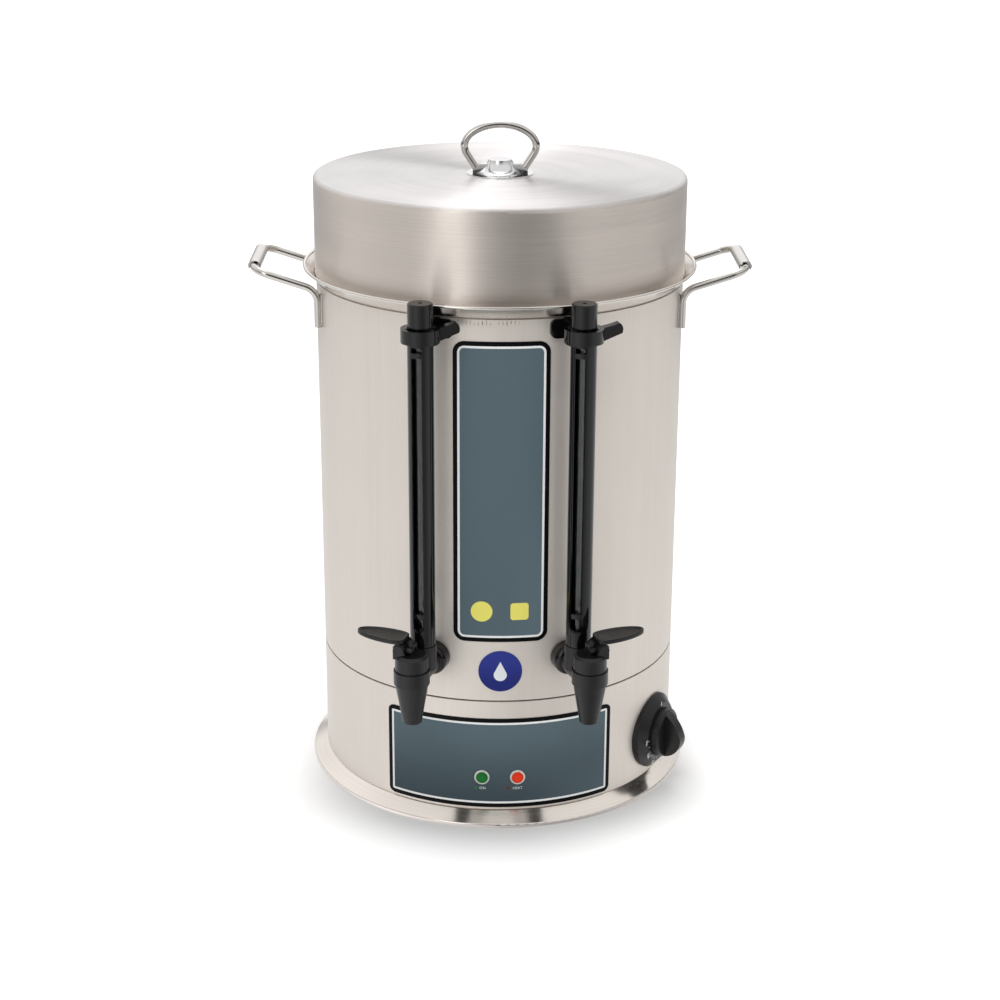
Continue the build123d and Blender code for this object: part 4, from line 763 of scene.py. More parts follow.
class Bench:
    """Steps of modelling by hand, each leaving its piece finished at the origin."""

    @staticmethod
    def clear() -> None:
        """Deselects everything, so that an operator acts on the new piece alone."""
        bpy.ops.object.select_all(action="DESELECT")

    @staticmethod
    def editing(select: bool = True) -> None:
        """Goes into edit mode with all of the active piece selected, or none of it."""
        bpy.ops.object.mode_set(mode="EDIT")
        bpy.ops.mesh.select_all(action="SELECT" if select else "DESELECT")

    @staticmethod
    def settled(piece: Piece, name: str, place: Matrix | None = None) -> Piece:
        """Applies a piece's modifiers and place, closes its seams and points its faces outwards.

        Args:
            piece: The piece, made a mesh.
            name: Its name.
            place: Where it goes, if it isn't there yet.

        Returns:
            The same piece, with its object at the origin.
        """
        if place is not None:
            piece.matrix_world = place @ piece.matrix_world
        Bench.clear()
        piece.select_set(True)
        bpy.context.view_layer.objects.active = piece
        for modifier in list(piece.modifiers):
            bpy.ops.object.modifier_apply(modifier=modifier.name)
        bpy.ops.object.transform_apply(location=True, rotation=True, scale=True)
        Bench.editing()
        bpy.ops.mesh.remove_doubles(threshold=0.002 * MM)
        bpy.ops.mesh.normals_make_consistent(inside=False)
        bpy.ops.object.mode_set(mode="OBJECT")
        bpy.ops.object.shade_smooth_by_angle(angle=math.radians(35))
        piece.name = name
        piece.data.name = name
        return piece

    @staticmethod
    def copy(piece: Piece, name: str, place: Matrix) -> Piece:
        """Copies a settled piece with its own mesh, to another place."""
        Bench.clear()
        piece.select_set(True)
        bpy.context.view_layer.objects.active = piece
        bpy.ops.object.duplicate(linked=False)
        return Bench.settled(bpy.context.object, name, place)

    @staticmethod
    def bar(width: float, length: float, corner: float, thickness: float) -> Piece:
        """Makes a flat bar with round corners, centred on the origin and facing +Z."""
        Bench.clear()
        bpy.ops.mesh.primitive_plane_add(size=1.0)
        piece = bpy.context.object
        Bench.editing()
        bpy.ops.transform.resize(value=(width, length, 1.0))
        bpy.ops.mesh.bevel(offset=corner, segments=3, affect="VERTICES")
        bpy.ops.mesh.extrude_region_move(TRANSFORM_OT_translate={"value": (0, 0, thickness)})
        bpy.ops.object.mode_set(mode="OBJECT")
        return piece

    @staticmethod
    def lettering(text: str, size: float, thickness: float) -> Piece:
        """Makes flat figures or letters, centred on the origin and facing +Z."""
        Bench.clear()
        bpy.ops.object.text_add()
        piece = bpy.context.object
        piece.data.body = text
        piece.data.size = size
        piece.data.extrude = thickness / 2
        piece.data.align_x = "CENTER"
        piece.data.align_y = "CENTER"
        piece.data.resolution_u = 3
        bpy.ops.object.convert(target="MESH")
        return bpy.context.object

    @staticmethod
    def weld_bead(length: float, radius: float) -> Piece:
        """Makes a rippled weld bead along +Z, from overlapping drops that are fused and eased."""
        Bench.clear()
        bpy.ops.mesh.primitive_uv_sphere_add(segments=16, ring_count=8, radius=radius)
        piece = bpy.context.object
        Bench.editing()
        bpy.ops.transform.resize(value=(1.0, 1.0, 0.75))
        bpy.ops.object.mode_set(mode="OBJECT")
        pitch = 1.1 * radius
        row = piece.modifiers.new("drops", "ARRAY")
        row.use_relative_offset = False
        row.use_constant_offset = True
        row.constant_offset_displace = (0.0, 0.0, pitch)
        row.count = round(length / pitch)
        fused = piece.modifiers.new("fused", "REMESH")
        fused.mode = "VOXEL"
        fused.voxel_size = radius / 3
        eased = piece.modifiers.new("eased", "SMOOTH")
        eased.iterations = 2
        return Bench.settled(piece, "weld_bead")


def wrap_on_wall(piece: Piece, azimuth: float, height: float, radius: float) -> None:
    """Rolls a flat piece, modelled on the XY plane and facing +Z, on to the vessel's wall.

    Args:
        piece: The flat piece, a mesh at the origin.
        azimuth: The azimuth of its middle, in degrees.
        height: The height of its middle.
        radius: The radius of the wall under it.
    """
    for corner in piece.data.vertices:
        across, up, out = corner.co
        turn = math.radians(azimuth) + across / radius
        reach = radius + out
        corner.co = (reach * math.sin(turn), -reach * math.cos(turn), height + up)


# --- Sub-assemblies ---


def both(finishes: Mapping[str, Finish]) -> dict[str, Finish]:
    """Gives the left and the right node of each pair the same finish."""
    return {f"{hand}_{node}": finish for hand in HANDS for node, finish in finishes.items()}


@dataclass
class SubAssembly:
    """Some of the urn's nodes, with their finishes and the pieces that are modelled on them."""

    looks: ClassVar[Mapping[str, Finish]]

    nodes: Mapping[str, Piece]

    def finishes(self) -> Mapping[str, Finish]:
        """Gives the finish of each node."""
        return self.looks

    def extras(self) -> Iterator[Piece]:
        """Models the sub-assembly's own pieces, here none."""
        return iter(())

    def finish_piece(self, piece: Piece, finish: Finish, slot: str, body: str = "urn") -> Piece:
        """Gives a modelled piece its finish and the body it rides on."""
        piece.data.materials.clear()
        piece.data.materials.append(finish.material())
        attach(piece, body)
        return piece

    def build(self) -> None:
        """Dresses the nodes and models the extra pieces, and reports both."""
        for name, finish in self.finishes().items():
            for slot in self.nodes[name].material_slots:
                slot.material = finish.material()
            LOG.info("%s: %s", name, finish.name)
        for piece in self.extras():
            LOG.info("%s: modelled, %d faces", piece.name, len(piece.data.polygons))


class Vessel(SubAssembly):
    """The boiler's wall, its rim, the drum under it and the foot."""

    looks = {
        "tank_wall": WALL_STEEL,
        "rim_collar": RIM_STEEL,
        "base_shell": DRUM_STEEL,
        "foot_ring": FOOT_STEEL,
        "tank_floor": INNER_STEEL,
        "base_pan": INNER_STEEL,
        "tie_rod": PLAIN_STEEL,
        "base_nuts": PLAIN_STEEL,
    }


class BoilerFittings(SubAssembly):
    """What heats the water and carries the current, inside the drum and the tank."""

    looks = {
        "heating_element": PLAIN_STEEL,
        "element_nuts": BRASS,
        "boiler_seals": SEAL,
        "thermostat_bulb": BRASS,
        "thermostat_body": BAKELITE,
        "safety_cutout": BAKELITE,
        "terminal_block": CERAMIC,
        "cord_gland": NYLON,
        "thermostat_spindle": PLAIN_STEEL,
    }


@dataclass
class Thermostat(SubAssembly):
    """The knob and its dial, with white figures and ticks printed on the dial."""

    looks = {"dial_bezel": KNOB_BLACK, "thermostat_knob": KNOB_BLACK}

    azimuth: float = 60.0
    height: float = 47.0 * MM
    face: float = 158.2 * MM
    figure_circle: float = 26.6 * MM
    figure_size: float = 5.0 * MM
    first_figure: int = 30
    last_figure: int = 90
    figure_step: int = 10
    first_turn: float = 90.0
    turn_per_figure: float = 30.0
    tick_circle: float = 23.0 * MM
    tick_size: tuple[float, float] = (1.6 * MM, 0.7 * MM)
    tick_corner: float = 0.45
    mark_circle: float = 25.4 * MM
    mark_size: tuple[float, float] = (3.6 * MM, 1.1 * MM)
    print_thickness: float = 0.06 * MM

    def on_dial(self, turn: float, circle: float) -> Matrix:
        """Gives the place on the dial at a clockwise turn from the top, with +Y away from the dial's middle."""
        out = outward(self.azimuth)
        right = UP.cross(out)
        angle = math.radians(turn)
        radial = right * math.sin(angle) + UP * math.cos(angle)
        sideways = radial.cross(out)
        centre = out * self.face + UP * self.height + radial * circle
        return Matrix.Translation(centre) @ Matrix((sideways, radial, out)).transposed().to_4x4()

    def printed(self, piece: Piece, name: str, turn: float, circle: float) -> Piece:
        """Lays a flat piece on the dial in white ink."""
        return self.finish_piece(Bench.settled(piece, name, self.on_dial(turn, circle)), WHITE_INK, "label_film")

    def tick(self, turn: float, circle: float, length: float, width: float) -> Piece:
        """Prints one tick with round ends."""
        bar = Bench.bar(width, length, self.tick_corner * width, self.print_thickness / 2)
        return self.printed(bar, f"dial_tick_{round(turn)}", turn, circle)

    def extras(self) -> Iterator[Piece]:
        """The figures from low to high, a tick at each and between them, and the mark at the top."""
        count = (self.last_figure - self.first_figure) // self.figure_step + 1
        for place in range(count):
            turn = self.first_turn + place * self.turn_per_figure
            value = self.first_figure + place * self.figure_step
            figure = Bench.lettering(str(value), self.figure_size, self.print_thickness)
            yield self.printed(figure, f"dial_figure_{value}", turn, self.figure_circle)
        for place in range(2 * count - 1):
            turn = self.first_turn + place * self.turn_per_figure / 2
            yield self.tick(turn, self.tick_circle, *self.tick_size)
        yield self.tick(0.0, self.mark_circle, *self.mark_size)


@dataclass
class Films(SubAssembly):
    """The printed films on the front, the lamps in the lower one, and the captions under the lamps."""

    film_face: float = 150.5 * MM
    label_corner: float = 9.0 * MM
    panel_corner: float = 5.0 * MM
    caption_height: float = 30.2 * MM
    caption_size: float = 3.2 * MM
    mark_size: float = 2.6 * MM
    print_thickness: float = 0.05 * MM

    def half_size(self, node: str) -> tuple[float, float, float]:
        """Gives a film's half width along the wall, half height and middle height, from its box."""
        low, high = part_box(node)
        half_width = math.asin(high.x / self.film_face) * BODY_RADIUS
        return half_width, (high.z - low.z) / 2, (high.z + low.z) / 2

    def framed(self, kind: type[FramedFilm], name: str, node: str, corner: float, **colours: Colour) -> FramedFilm:
        """Makes the print of a framed film, to the size of its node."""
        half_width, half_height, middle = self.half_size(node)
        sizes = {"half_width": half_width, "half_height": half_height, "corner": corner}
        return kind(name, middle=middle, **sizes, **colours)

    def finishes(self) -> Mapping[str, Finish]:
        """The two framed films, the disc and the lamps."""
        # right is the lighter colour of the label's painted sheen
        slate = {"top": screen(94, 111, 119), "bottom": screen(92, 109, 118), "right": screen(108, 128, 136)}
        return {
            "front_label": self.framed(TokenFilm, "label_print", "front_label", self.label_corner, **slate),
            "control_panel": self.framed(FramedFilm, "panel_print", "control_panel", self.panel_corner),
            "round_sticker": DropDisc("disc_print", middle=self.half_size("round_sticker")[2]),
            "lamp_bodies": LAMP_RIM,
            "power_lamp": GREEN_LENS,
            "heating_lamp": ORANGE_LENS,
        }

    def printed(self, piece: Piece, name: str, across: float, finish: Finish) -> Piece:
        """Lays a flat piece on the lower film.

        Args:
            piece: The piece, facing +Z.
            name: Its name.
            across: Its place along the wall, from the front.
            finish: Its ink.

        Returns:
            The piece, on the wall.
        """
        settled = Bench.settled(piece, name)
        wrap_on_wall(settled, math.degrees(across / BODY_RADIUS), self.caption_height, self.film_face)
        return self.finish_piece(settled, finish, "label_film")

    def extras(self) -> Iterator[Piece]:
        """A mark in its lamp's colour and a word under each lamp."""
        for lamp, ink, place, word, word_place in (
            ("power", GREEN_INK, -19.5 * MM, "ON", -14.0 * MM),
            ("heating", RED_INK, 7.0 * MM, "HEAT", 14.6 * MM),
        ):
            mark = Bench.bar(self.mark_size, self.mark_size, 0.2 * self.mark_size, self.print_thickness)
            yield self.printed(mark, f"{lamp}_mark", place, ink)
            letters = Bench.lettering(word, self.caption_size, self.print_thickness)
            yield self.printed(letters, f"{lamp}_caption", word_place, WHITE_INK)


@dataclass
class Taps(SubAssembly):
    """Both taps, with their nuts and stems, and the leaf-shaped paddles that stand for the plain levers."""

    looks = {
        **both({name: SATIN_BLACK for name in ("tap_body", "tap_bonnet", "tap_lever", "valve_stem")}),
        **both({"seat_cup": SEAL}),
        "lever_pins": GLOSS_BLACK,
        "wall_nuts": GLOSS_BLACK,
        "lock_nuts": BRASS,
        "tap_washers": SEAL,
    }

    azimuth: float = 20.3
    reach: float = 200 * MM
    pivot_aside: float = 7.5 * MM
    pivot_height: float = 171.1 * MM
    tilt: float = 3.0
    leaf_start: float = -3.2 * MM
    leaf_tip: float = 37.6 * MM
    leaf_half_width: float = 10.4 * MM
    leaf_thickness: float = 3.4 * MM
    leaf_rise: float = 7.1 * MM
    leaf_taper: float = 0.20
    hub_fullness: float = 0.42
    tip_fullness: float = 0.92
    dish_margin: float = 1.3 * MM
    dish_slope: float = 2.0 * MM
    dish_depth: float = 1.2 * MM
    hub_radius: float = 3.6 * MM
    hub_width: float = 10.0 * MM
    prong_reach: float = 10.0 * MM
    prong_size: float = 2.2 * MM
    hood_radius: float = 5.15 * MM
    hood_half_width: float = 9.3 * MM
    hood_wall: float = 0.5 * MM
    hood_middle: float = 91.0
    hood_arc: float = 130.0
    cheek_radius: float = 4.35 * MM
    cheek_width: float = 0.9 * MM

    def leaf(self) -> Piece:
        """Makes the paddle: an egg-shaped slab, blunt at the hub and narrow at its tip, with a dished top."""
        Bench.clear()
        bpy.ops.mesh.primitive_cylinder_add(vertices=64, radius=1.0, depth=self.leaf_thickness)
        piece = bpy.context.object
        half_length = (self.leaf_tip - self.leaf_start) / 2
        for corner in piece.data.vertices:
            along, across = corner.co.x, corner.co.y
            fullness = self.hub_fullness if along < 0 else self.tip_fullness
            width = self.leaf_half_width * abs(across) ** fullness * (1 - self.leaf_taper * along)
            corner.co.x = self.leaf_start + half_length * (1 + along)
            corner.co.y = math.copysign(width, across)
            corner.co.z += self.leaf_rise
        Bench.editing(select=False)
        bpy.ops.object.mode_set(mode="OBJECT")
        for face in piece.data.polygons:
            face.select = face.normal.z > 0.9
        bpy.ops.object.mode_set(mode="EDIT")
        bpy.ops.mesh.inset(thickness=self.dish_margin, depth=0.0)
        bpy.ops.mesh.inset(thickness=self.dish_slope, depth=-self.dish_depth)
        bpy.ops.object.mode_set(mode="OBJECT")
        rounded = piece.modifiers.new("rounded", "BEVEL")
        rounded.width = 0.5 * MM
        rounded.segments = 2
        rounded.limit_method = "ANGLE"
        return piece

    def block(self, size: tuple[float, float, float], centre: tuple[float, float, float]) -> Piece:
        """Makes one of the lever's square parts, with eased edges."""
        Bench.clear()
        bpy.ops.mesh.primitive_cube_add(size=1.0, location=centre)
        piece = bpy.context.object
        piece.scale = size
        eased = piece.modifiers.new("eased", "BEVEL")
        eased.width = 0.06
        eased.segments = 2
        return piece

    def hood(self) -> Piece:
        """Makes the half-round hood that turns over the bonnet's ears with the lever."""
        Bench.clear()
        bpy.ops.mesh.primitive_grid_add(x_subdivisions=28, y_subdivisions=4, size=1.0)
        piece = bpy.context.object
        for corner in piece.data.vertices:
            turn = math.radians(self.hood_middle + self.hood_arc * corner.co.x)
            across = 2 * self.hood_half_width * corner.co.y
            corner.co = (self.hood_radius * math.cos(turn), across, self.hood_radius * math.sin(turn))
        wall = piece.modifiers.new("wall", "SOLIDIFY")
        wall.thickness = self.hood_wall
        wall.offset = 0.0
        return piece

    def lever(self, name: str, side: int) -> Piece:
        """Makes one lever, in place.

        Args:
            name: Its name.
            side: -1 for the left tap, 1 for the right one.

        Returns:
            The leaf, its hood, neck and prongs, the hub on the pin and the cheeks, as one mesh.
        """
        out = outward(side * self.azimuth)
        aside = UP.cross(out) * side
        tilt = math.radians(self.tilt)
        along = aside * math.cos(tilt) + UP * math.sin(tilt)
        normal = UP * math.cos(tilt) - aside * math.sin(tilt)
        turn = Matrix((along, normal.cross(along), normal)).transposed().to_4x4()
        pivot = out * self.reach + aside * self.pivot_aside + UP * self.pivot_height
        neck = (0.6 * self.hub_width, 0.98 * self.hub_width, 0.6 * self.hub_width)
        parts = [
            self.leaf(),
            self.hood(),
            self.block(neck, (0.15 * self.hub_width, 0.0, 0.35 * self.hub_width)),
        ]
        for way in (-1, 1):
            across = way * (self.hub_width - self.prong_size) / 2
            size = (self.prong_reach, self.prong_size, 2 * self.prong_size)
            parts.append(self.block(size, (-self.prong_reach / 2, across, 0.0)))
        cheeks = [(self.cheek_radius, self.cheek_width, way * self.hood_half_width) for way in (-1, 1)]
        for radius, width, across in ((self.hub_radius, self.hub_width, 0.0), *cheeks):
            Bench.clear()
            bpy.ops.mesh.primitive_cylinder_add(
                vertices=40, radius=radius, depth=width, location=(0, across, 0), rotation=(math.pi / 2, 0, 0)
            )
            parts.append(bpy.context.object)
        for part in parts:
            Bench.settled(part, f"{name}_part")
        Bench.clear()
        for part in parts:
            part.select_set(True)
        bpy.context.view_layer.objects.active = parts[0]
        bpy.ops.object.join()
        return Bench.settled(parts[0], name, Matrix.Translation(pivot) @ turn)

    def extras(self) -> Iterator[Piece]:
        """The two levers, each in the place of its node."""
        for hand, side in HANDS.items():
            lever = self.lever(f"{hand}_leaf_lever", side)
            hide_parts(f"{hand}_tap_lever")
            yield self.finish_piece(lever, SATIN_BLACK, "black_plastic", f"{hand}_tap_lever")


class GaugeColumns(SubAssembly):
    """Both sight columns, with their caps, lock collars and brackets."""

    looks = {
        **both({"gauge_guard": GLOSS_BLACK, "lock_collar": GLOSS_BLACK}),
        "gauge_glasses": GLASS,
        "gauge_caps": GLOSS_BLACK,
        "gauge_brackets": GLOSS_BLACK,
        "bracket_rivets": BRIGHT_STEEL,
    }


@dataclass
class SideHandles(SubAssembly):
    """The two side handles, with the welds that hold their rods on the wall."""

    looks = {**both({"side_handle": BRIGHT_STEEL}), "handle_grips": BRIGHT_STEEL}

    rod_radius: float = 3.0 * MM
    bead_radius: float = 1.0 * MM
    bead_length: float = 25.0 * MM
    bead_aside: float = 2.2 * MM
    bead_lift: float = 0.45 * MM
    bead_start: float = 2.0 * MM

    def legs(self) -> Iterator[tuple[str, Vector]]:
        """Gives the name and the lower end of each rod's leg on the wall."""
        for hand, side in HANDS.items():
            low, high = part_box(f"{hand}_side_handle")
            inner = high.x if side < 0 else low.x
            for end, reach in (("front", low.y + self.rod_radius), ("rear", high.y - self.rod_radius)):
                yield f"{hand}_{end}", Vector((inner + side * self.rod_radius, reach, low.z))

    def extras(self) -> Iterator[Piece]:
        """A bead down each side of each leg."""
        pattern = Bench.weld_bead(self.bead_length, self.bead_radius)
        for leg, foot in self.legs():
            radial = Vector((foot.x, foot.y, 0)).normalized()
            tangent = Vector((-radial.y, radial.x, 0))
            for number, aside in enumerate((-self.bead_aside, self.bead_aside), start=1):
                start = UP * (foot.z + self.bead_start)
                spot = radial * (BODY_RADIUS + self.bead_lift) + tangent * aside + start
                bead = Bench.copy(pattern, f"{leg}_weld_{number}", Matrix.Translation(spot))
                yield self.finish_piece(bead, PLAIN_STEEL, "polished_steel")
        bpy.data.objects.remove(pattern)


class BrewSide(SubAssembly):
    """The hanging brew pot, its strainer and the pipe to its tap."""

    looks = {
        "brew_pot": INNER_STEEL,
        "pot_loops": BRIGHT_STEEL,
        "strainer_basket": INNER_STEEL,
        "basket_handle": BRIGHT_STEEL,
        "brew_pipe": PLAIN_STEEL,
        "pipe_union": BRASS,
    }


@dataclass
class Lid(SubAssembly):
    """The tall lid, with its boss, and an oval loop that stands for the plain bent wire."""

    looks = {"lid": LID_STEEL, "lid_boss": BOSS_STEEL, "lid_loop": BRIGHT_STEEL, "lid_screw": PLAIN_STEEL}

    wire: float = 3.0 * MM
    foot: float = 18.4 * MM
    half_width: float = 28.9 * MM
    drop: float = 3.6 * MM
    arch_rise: float = 17.2 * MM
    arch_steps: int = 40

    def loop_line(self) -> list[Vector]:
        """Gives points along the wire: a leg, the oval arch with its ends tucked in, and the other leg."""
        low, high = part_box("lid_loop")
        top = high.z - self.wire - self.drop
        start = low.z + self.wire / 4
        points = [Vector((self.foot, 0, start))]
        aside, below = self.foot / self.half_width, (start - top + self.arch_rise) / self.arch_rise
        tuck = -math.atan2(below, aside) - math.acos(1 / math.hypot(aside, below))
        for step in range(self.arch_steps + 1):
            turn = -tuck + step * (math.pi + 2 * tuck) / self.arch_steps
            rise = top - self.arch_rise + self.arch_rise * math.sin(turn)
            points.append(Vector((self.half_width * math.cos(turn), 0, rise)))
        return [*points, Vector((-self.foot, 0, start))]

    def extras(self) -> Iterator[Piece]:
        """The loop: a grid rolled into a tube along its line."""
        line = self.loop_line()
        lengths = [0.0]
        for start, end in zip(line, line[1:]):
            lengths.append(lengths[-1] + (end - start).length)

        def spot(share: float) -> Vector:
            """Gives the point at a share of the line's length."""
            goal = min(max(share, 0.0), 1.0) * lengths[-1]
            place = max(index for index, length in enumerate(lengths[:-1]) if length <= goal)
            part = (goal - lengths[place]) / (lengths[place + 1] - lengths[place])
            return line[place].lerp(line[place + 1], part)

        Bench.clear()
        bpy.ops.mesh.primitive_grid_add(x_subdivisions=120, y_subdivisions=28, size=1.0)
        piece = bpy.context.object
        for corner in piece.data.vertices:
            share, turn = corner.co.x + 0.5, 2 * math.pi * corner.co.y
            forward = (spot(share + 0.01) - spot(share - 0.01)).normalized()
            aside = forward.cross(Vector((0, 1, 0)))
            corner.co = spot(share) + (aside * math.cos(turn) + Vector((0, math.sin(turn), 0))) * self.wire
        piece = Bench.settled(piece, "oval_lid_loop")
        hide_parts("lid_loop")
        yield self.finish_piece(piece, BRIGHT_STEEL, "polished_steel", "lid")


# --- Studio ---


@dataclass(frozen=True)
class Patch:
    """A soft patch of the room that the metal mirrors, brighter than the rest, or darker if below zero."""

    azimuth: float
    elevation: float
    reach: float
    strength: float
    height: float = 1.0

    def weight(self, wiring: Wiring, direction: Socket) -> Socket:
        """Gives the patch's share at a direction: a soft spot, stretched upright by its height."""
        aim = outward(self.azimuth) * math.cos(math.radians(self.elevation))
        aim.z = math.sin(math.radians(self.elevation))
        offset = wiring.vector("SUBTRACT", direction, tuple(aim))
        squeezed = wiring.vector("MULTIPLY", offset, (1.0, 1.0, 1.0 / self.height))
        distance = wiring.length(squeezed)
        edge = 2 * math.sin(math.radians(self.reach) / 2)
        return wiring.times(wiring.ease(distance, edge, 0.0), self.strength)


@dataclass(frozen=True)
class StudioFloor(Finish):
    """A white floor that keeps the urn's shadow where it is seen, adds a painted contact shadow round the foot, and is
    evenly bright where it is mirrored.
    """

    near: float = 0.30
    far: float = 1.5
    # painted contact shadow: between these reaches the paper is darker and the lift fades in
    contact_near: float = 0.15
    contact_far: float = 0.21
    lift_far: float = 0.25
    lift: float = 0.42
    far_lift: float = 0.30
    side_reach: float = 0.035
    side_from: float = -0.14
    mirrored_near: float = 1.00
    mirrored_far: float = 0.92
    back_near: float = 0.95
    back_far: float = 1.35
    back_fall: float = 0.4
    patches: tuple[Patch, ...] = (
        Patch(azimuth=18.0, elevation=0.0, reach=40.0, strength=-0.45),
        Patch(azimuth=-36.0, elevation=0.0, reach=22.0, strength=0.30),
    )

    def shade(self, wiring: Wiring) -> Socket:
        """White paper with a lift, a painted contact shadow near the urn, and an even glow for what mirrors it."""
        x, y, _ = wiring.parts(wiring.place())
        reach = wiring.length(wiring.joined(x, y, 0.0))
        # points level with the urn and behind it count as farther out, which narrows the painted shadow there
        reach = wiring.plus(reach, wiring.ease(y, self.side_from, 0.0, 0.0, self.side_reach))
        path = wiring.add("LightPath").outputs
        seen = wiring.maths("MINIMUM", wiring.plus(path["Is Camera Ray"], path["Is Transmission Ray"]), 1.0)
        mottle = wiring.spread(wiring.noise(wiring.place(), 3.0, 3.0))
        paper = wiring.blend(mottle, screen(243, 243, 243), screen(246, 246, 245))
        # painted shadow: the darker paper near the urn's foot
        painted_shadow_paper = wiring.blend(mottle, screen(221, 221, 221), screen(225, 225, 224))
        painted_shadow_clear = wiring.ease(reach, self.contact_near, self.contact_far)
        diffuse = wiring.add("BsdfDiffuse", {"Color": wiring.blend(painted_shadow_clear, painted_shadow_paper, paper)}).outputs[0]
        # the lift starts at zero by the foot, which deepens the painted shadow
        lift = wiring.ease(reach, self.contact_near, self.lift_far, 0.0, self.lift)
        lift = wiring.plus(lift, wiring.ease(reach, self.near, self.back_near, 0.0, self.far_lift))
        glow = wiring.add("Emission", {"Strength": wiring.times(seen, lift)}).outputs[0]
        direct = wiring.add("AddShader", {0: diffuse, 1: glow}).outputs[0]
        mirrored = wiring.ease(reach, self.near, self.far, self.mirrored_near, self.mirrored_far)
        level = wiring.vector("NORMALIZE", wiring.joined(x, y, 0.0))
        for patch in self.patches:
            mirrored = wiring.plus(mirrored, patch.weight(wiring, level))
        mirrored = wiring.minus(mirrored, wiring.ease(y, self.back_near, self.back_far, 0.0, self.back_fall))
        even = wiring.add("Emission", {"Strength": mirrored}).outputs[0]
        return wiring.add("MixShader", {0: path["Is Glossy Ray"], 1: direct, 2: even}).outputs[0]


@dataclass(frozen=True)
class Softbox:
    """A soft area light that aims at the urn's middle."""

    name: str
    place: tuple[float, float, float]
    size: tuple[float, float]
    power: float
    aim: ClassVar[Vector] = 0.28 * UP

    def build(self) -> None:
        """Adds the light, which the metal doesn't mirror."""
        turn = (self.aim - Vector(self.place)).to_track_quat("-Z", "Y").to_euler()
        Bench.clear()
        bpy.ops.object.light_add(type="AREA", location=self.place, rotation=turn)
        light = bpy.context.object
        light.name = self.name
        light.data.shape = "RECTANGLE"
        light.data.size, light.data.size_y = self.size
        light.data.energy = self.power
        light.visible_glossy = False


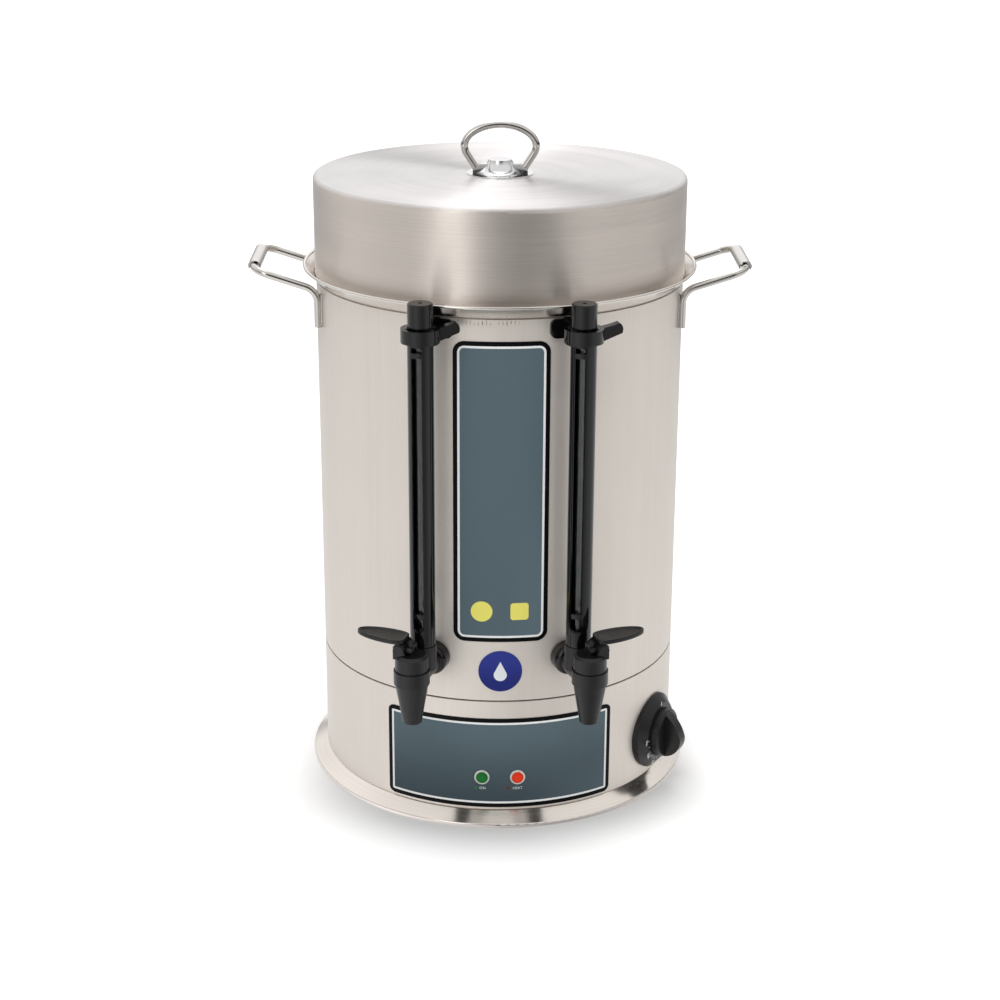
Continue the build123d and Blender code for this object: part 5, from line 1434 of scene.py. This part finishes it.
@dataclass(frozen=True)
class Studio:
    """The floor, the lights, the white surround and the camera."""

    ambient: float = 0.62
    room_low: float = 0.60
    room_high: float = 0.95
    room_turn: tuple[float, float] = (0.3, 0.75)
    skyline: float = 0.6
    skyline_height: float = 0.20
    darkest: float = 0.02
    patches: tuple[Patch, ...] = (
        Patch(azimuth=8.0, elevation=8.0, reach=36.0, strength=-0.80, height=1.8),
        Patch(azimuth=-29.0, elevation=22.0, reach=18.0, strength=2.0, height=2.6),
        Patch(azimuth=-110.0, elevation=10.0, reach=60.0, strength=0.35),
        Patch(azimuth=180.0, elevation=16.0, reach=70.0, strength=0.62),
        Patch(azimuth=184.0, elevation=67.0, reach=24.0, strength=2.4, height=1.1),
        Patch(azimuth=158.0, elevation=40.0, reach=20.0, strength=-1.6, height=0.5),
    )
    camera_place: tuple[float, float, float] = (-20.4 * MM, -1634.5 * MM, 806.2 * MM)
    camera_yaw: float = 0.754
    camera_pitch: float = 19.53
    camera_roll: float = 0.276
    lens: float = 73.2

    def floor(self) -> None:
        """Lays a wide floor with a fine grid under the urn."""
        Bench.clear()
        bpy.ops.mesh.primitive_grid_add(x_subdivisions=8, y_subdivisions=8, size=14.0)
        floor = Bench.settled(bpy.context.object, "studio_floor")
        floor.data.materials.append(StudioFloor("studio_paper").material())

    def surround(self) -> None:
        """Sets the white surround, dimmer before the urn where the room is, and softer as a light."""
        world = bpy.data.worlds.new("studio_surround")
        world.use_nodes = True
        world.node_tree.nodes.clear()
        wiring = Wiring(world.node_tree)
        direction = wiring.add("TexCoord").outputs["Generated"]
        height = wiring.parts(direction)[2]
        mirrored = wiring.ease(height, *self.room_turn, self.room_low, self.room_high)
        for patch in self.patches:
            mirrored = wiring.plus(mirrored, patch.weight(wiring, direction))
        skyline = wiring.ease(wiring.size(height), self.skyline_height, 0.0, 0.0, self.skyline)
        mirrored = wiring.maths("MAXIMUM", wiring.minus(mirrored, skyline), self.darkest)
        path = wiring.add("LightPath").outputs
        glossy = wiring.maths("MINIMUM", wiring.plus(path["Is Glossy Ray"], path["Is Transmission Ray"]), 1.0)
        extra = wiring.times(glossy, wiring.minus(mirrored, self.ambient))
        seen = wiring.times(path["Is Camera Ray"], 1.0 - self.ambient)
        strength = wiring.plus(wiring.plus(extra, seen), self.ambient)
        background = wiring.add("Background", {"Color": (1.0, 1.0, 1.0, 1.0), "Strength": strength})
        wiring.add("OutputWorld", {"Surface": background.outputs[0]})
        bpy.context.scene.world = world

    def lights(self) -> None:
        """Hangs the softboxes."""
        for softbox in (
            Softbox("key_softbox", (-0.25, -0.95, 1.75), (1.1, 0.8), 9.0),
            Softbox("top_softbox", (0.15, 0.45, 2.1), (1.4, 1.0), 12.0),
        ):
            softbox.build()

    def camera(self) -> None:
        """Sets up the camera in front of the taps."""
        yaw, pitch, roll = (math.radians(a) for a in (self.camera_yaw, self.camera_pitch, self.camera_roll))
        ahead = Vector((math.sin(yaw) * math.cos(pitch), math.cos(yaw) * math.cos(pitch), -math.sin(pitch)))
        level = Vector((math.cos(yaw), -math.sin(yaw), 0.0))
        upright = level.cross(ahead)
        right = level * math.cos(roll) + upright * math.sin(roll)
        above = upright * math.cos(roll) - level * math.sin(roll)
        Bench.clear()
        bpy.ops.object.camera_add()
        camera = bpy.context.object
        camera.name = "front_camera"
        turn = Matrix((right, above, -ahead)).transposed().to_4x4()
        camera.matrix_world = Matrix.Translation(self.camera_place) @ turn
        camera.data.lens = self.lens
        camera.data.sensor_width = 36.0
        camera.data.clip_end = 50.0
        bpy.context.scene.camera = camera

    def build(self) -> None:
        """Builds the studio."""
        self.camera()
        self.floor()
        self.surround()
        self.lights()
        bpy.context.scene.view_settings.view_transform = "Standard"
        LOG.info("studio: floor, surround, softboxes and camera")


def main() -> None:
    """Loads the frame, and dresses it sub-assembly by sub-assembly."""
    logging.basicConfig(level=logging.INFO, format="%(name)s: %(message)s")
    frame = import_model()
    Studio().build()
    for kind in (Vessel, BoilerFittings, Thermostat, Films, Taps, GaugeColumns, SideHandles, BrewSide, Lid):
        kind(frame["nodes"]).build()


if __name__ == "__main__":
    main()
